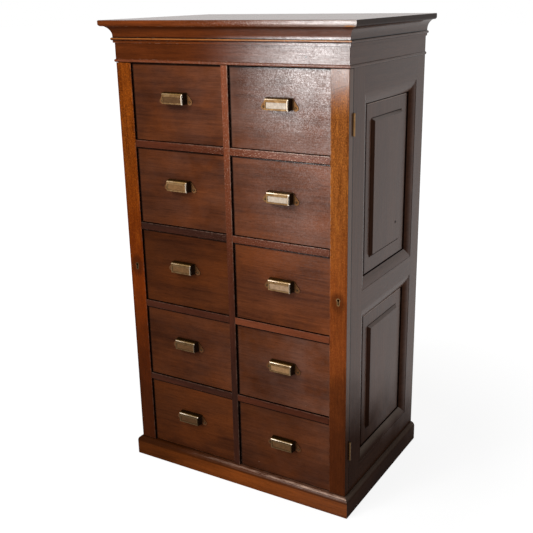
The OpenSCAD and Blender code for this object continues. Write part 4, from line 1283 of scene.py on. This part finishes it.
class CABINET_OT_hinge_screws(bpy.types.Operator):
    """Screw the leaves of the hinges to the flaps and to the sides"""

    bl_idname = "cabinet.hinge_screws"
    bl_label = "Add the hinge screws"

    def execute(self, context):
        radius = context.scene.cabinet_fittings.hinge_screw_radius
        pattern = screw_pattern(radius, FLAT_SCREW_RISE, HINGE_SLOT_WIDTH, dome=False)
        brass = bpy.data.materials["screw_brass"]
        low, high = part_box("right_flap_leaves")
        heights = [foot + HINGE_LENGTH * part
                   for foot in (low.z, high.z - HINGE_LENGTH) for part in HINGE_SCREW_PARTS]
        flap_seat = FLAP_BACK - FLAT_SCREW_SINK
        case_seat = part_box("right_side_frame")[0].y + FLAT_SCREW_SINK
        carcass = []
        for side in COLUMNS:
            x = SIGNS[side] * (HALF_WIDTH - HINGE_SCREW_INSET)
            heads = screws_at(pattern, [(x, flap_seat, z) for z in heights], back=True)
            finish_pieces(heads, f"{side}_flap_hinge_screws", f"{side}_flap", brass)
            carcass += screws_at(pattern, [(x, case_seat, z) for z in heights])
        finish_pieces(carcass, "carcass_hinge_screws", "carcass", brass)
        discard(pattern)
        return {"FINISHED"}


class CABINET_OT_lock_screws(bpy.types.Operator):
    """Screw the locks into the backs of the flaps, and the staples to the posts"""

    bl_idname = "cabinet.lock_screws"
    bl_label = "Add the lock screws"

    def execute(self, context):
        radius = context.scene.cabinet_fittings.lock_screw_radius
        pattern = screw_pattern(radius, FLAT_SCREW_RISE, LOCK_SLOT_WIDTH, dome=False)
        brass = bpy.data.materials["screw_brass"]
        inset = LOCK_SCREW_INSET
        plate_low, plate_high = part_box("lock_staples")
        plate_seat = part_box("front_posts")[0].y + FLAT_SCREW_SINK
        posts = []
        for side in COLUMNS:
            low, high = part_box(f"{side}_lock")
            corners = [(x, high.y - FLAT_SCREW_SINK, z)
                       for x in (low.x + inset, high.x - inset) for z in (low.z + inset, high.z - inset)]
            heads = screws_at(pattern, corners, back=True)
            finish_pieces(heads, f"{side}_lock_screws", f"{side}_flap", brass)
            x = SIGNS[side] * (plate_high.x - STAPLE_SCREW_INSET)
            heights = (plate_low.z + inset, plate_high.z - inset)
            posts += screws_at(pattern, [(x, plate_seat, z) for z in heights])
        finish_pieces(posts, "staple_screws", "carcass", brass)
        discard(pattern)
        return {"FINISHED"}


class CABINET_OT_back_nails(bpy.types.Operator):
    """Nail the back boards to the case at the top, middle and foot"""

    bl_idname = "cabinet.back_nails"
    bl_label = "Add the back nails"

    def execute(self, context):
        fittings = context.scene.cabinet_fittings
        pattern = head_pattern(fittings.nail_radius, NAIL_RISE, dome=True)
        pattern.data.transform(Matrix.Rotation(math.radians(-90), 4, "X"))
        low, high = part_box("back_boards")
        width = (high.x - low.x) / BACK_BOARDS
        heights = (low.z + NAIL_INSET, (low.z + high.z) / 2, high.z - NAIL_INSET)
        nails = []
        for board in range(BACK_BOARDS):
            for part in NAIL_PARTS:
                x = low.x + width * (board + part)
                for step, z in enumerate(heights):
                    slip = NAIL_SLIP * math.sin(5.1 * board + 2.3 * step + 7 * part)
                    nails.append(copy_of(pattern, Vector((x + slip, high.y - NAIL_SINK, z + slip))))
        finish_pieces(nails, "back_nails", "carcass", old_metal("nail_iron", fittings.nail_tint, 0.55))
        discard(pattern)
        return {"FINISHED"}


class CABINET_OT_studio(bpy.types.Operator):
    """Set up the floor, the light and the camera"""

    bl_idname = "cabinet.studio"
    bl_label = "Set up the studio"

    def execute(self, context):
        stage = context.scene.cabinet_stage
        self.floor()
        self.world(context, stage)
        self.lamp(context, "studio_window", stage.window_power, size=(0.65, 0.48),
                  place=(-1.1, -2.83, 1.04), target=(0.1, FACE_Y, 1.0))
        self.lamp(context, "studio_overhead", stage.overhead_power, size=(2.0, 1.4),
                  place=(-1.1, -2.4, 3.0), target=(0.0, FACE_Y, 0.6))
        self.camera(context, stage)
        context.scene.view_settings.view_transform = "Standard"
        return {"FINISHED"}

    @staticmethod
    def seen(board):
        """One for rays that show the background itself: from the camera, in gloss or through glass."""
        path = board.add("ShaderNodeLightPath").outputs
        shown = board.math("MAXIMUM", path["Is Camera Ray"], path["Is Glossy Ray"])
        return shown.most(path["Is Transmission Ray"])

    def floor(self):
        """A wide floor that looks white and still takes the cabinet's shadow."""
        clear_selection()
        bpy.ops.mesh.primitive_plane_add(size=FLOOR_WIDTH)
        floor = bpy.context.object
        floor.name = "studio_floor"
        material = bpy.data.materials.new("studio_floor")
        board = NodeBoard(emptied(material))
        x, y, z = board.parts(board.add("ShaderNodeTexCoord").outputs["Object"])
        strength = board.away(x, y, (0.0, 0.0)).span(0.6, 1.5, 0.88, 1.0)
        lit = board.value("ShaderNodeBsdfDiffuse", {"Color": (0.8, 0.8, 0.8)})
        faint = board.value("ShaderNodeBsdfDiffuse", {"Color": (0.2, 0.2, 0.2)})
        glow = board.value("ShaderNodeEmission", {"Color": (1.0, 1.0, 1.0), "Strength": strength})
        shown = board.value("ShaderNodeAddShader", {0: faint, 1: glow})
        mix = board.value("ShaderNodeMixShader", {0: self.seen(board), 1: lit, 2: shown})
        board.add("ShaderNodeOutputMaterial", {"Surface": mix})
        floor.data.materials.append(material)

    def world(self, context, stage):
        """A white background that lights the cabinet only as much as the fill strength."""
        world = bpy.data.worlds.new("studio_world")
        context.scene.world = world
        board = NodeBoard(emptied(world))
        strength = self.seen(board).vary(stage.fill_strength, 1.0)
        light = board.value("ShaderNodeBackground", {"Color": (1.0, 1.0, 1.0), "Strength": strength})
        board.add("ShaderNodeOutputWorld", {"Surface": light})

    def lamp(self, context, name, power, size, place, target):
        """An oblong lamp that points from its place to its target."""
        lamp = bpy.data.lights.new(name, "AREA")
        lamp.shape = "RECTANGLE"
        lamp.size, lamp.size_y = size
        lamp.energy = power
        holder = bpy.data.objects.new(name, lamp)
        context.collection.objects.link(holder)
        holder.location = place
        holder.rotation_euler = (Vector(target) - Vector(place)).to_track_quat("-Z", "Y").to_euler()

    def camera(self, context, stage):
        """The camera as solved from the photograph."""
        lens = bpy.data.cameras.new("studio_camera")
        lens.sensor_fit = "HORIZONTAL"
        lens.sensor_width = SENSOR_MM
        lens.lens = stage.focal_pixels / PHOTO_PIXELS * SENSOR_MM
        lens.clip_end = 100
        holder = bpy.data.objects.new("studio_camera", lens)
        context.collection.objects.link(holder)
        level = math.radians(90) + stage.camera_pitch
        turn = Matrix.Rotation(stage.camera_yaw, 4, "Z") @ Matrix.Rotation(level, 4, "X")
        turn = turn @ Matrix.Rotation(stage.camera_roll, 4, "Z")
        holder.matrix_world = Matrix.Translation(stage.camera_place) @ turn
        context.scene.camera = holder


STEPS = (
    CABINET_OT_polish_case, CABINET_OT_polish_flaps, CABINET_OT_polish_drawers, CABINET_OT_plain_timber,
    CABINET_OT_age_brass, CABINET_OT_label_cards, CABINET_OT_pull_screws, CABINET_OT_hinge_screws,
    CABINET_OT_lock_screws, CABINET_OT_back_nails, CABINET_OT_studio,
)


class CABINET_PT_finishes(bpy.types.Panel):
    """Lists the steps that dress the cabinet"""

    bl_idname = "CABINET_PT_finishes"
    bl_label = "Filing cabinet"
    bl_space_type = "VIEW_3D"
    bl_region_type = "UI"
    bl_category = "Cabinet"

    def draw(self, context):
        for step in STEPS:
            self.layout.operator(step.bl_idname)


SETTINGS = {
    "cabinet_timber": CabinetTimberSettings,
    "cabinet_fittings": CabinetFittingSettings,
    "cabinet_stage": CabinetStageSettings,
}


def register():
    for name, group in SETTINGS.items():
        bpy.utils.register_class(group)
        setattr(bpy.types.Scene, name, bpy.props.PointerProperty(type=group))
    for step in STEPS:
        bpy.utils.register_class(step)
    bpy.utils.register_class(CABINET_PT_finishes)


def unregister():
    bpy.utils.unregister_class(CABINET_PT_finishes)
    for step in reversed(STEPS):
        bpy.utils.unregister_class(step)
    for name, group in SETTINGS.items():
        delattr(bpy.types.Scene, name)
        bpy.utils.unregister_class(group)


def main():
    register()
    bpy.ops.cabinet.polish_case()
    bpy.ops.cabinet.polish_flaps()
    bpy.ops.cabinet.polish_drawers()
    bpy.ops.cabinet.plain_timber()
    bpy.ops.cabinet.age_brass()
    bpy.ops.cabinet.label_cards()
    bpy.ops.cabinet.pull_screws()
    bpy.ops.cabinet.hinge_screws()
    bpy.ops.cabinet.lock_screws()
    bpy.ops.cabinet.back_nails()
    bpy.ops.cabinet.studio()


if __name__ == "__main__":
    main()
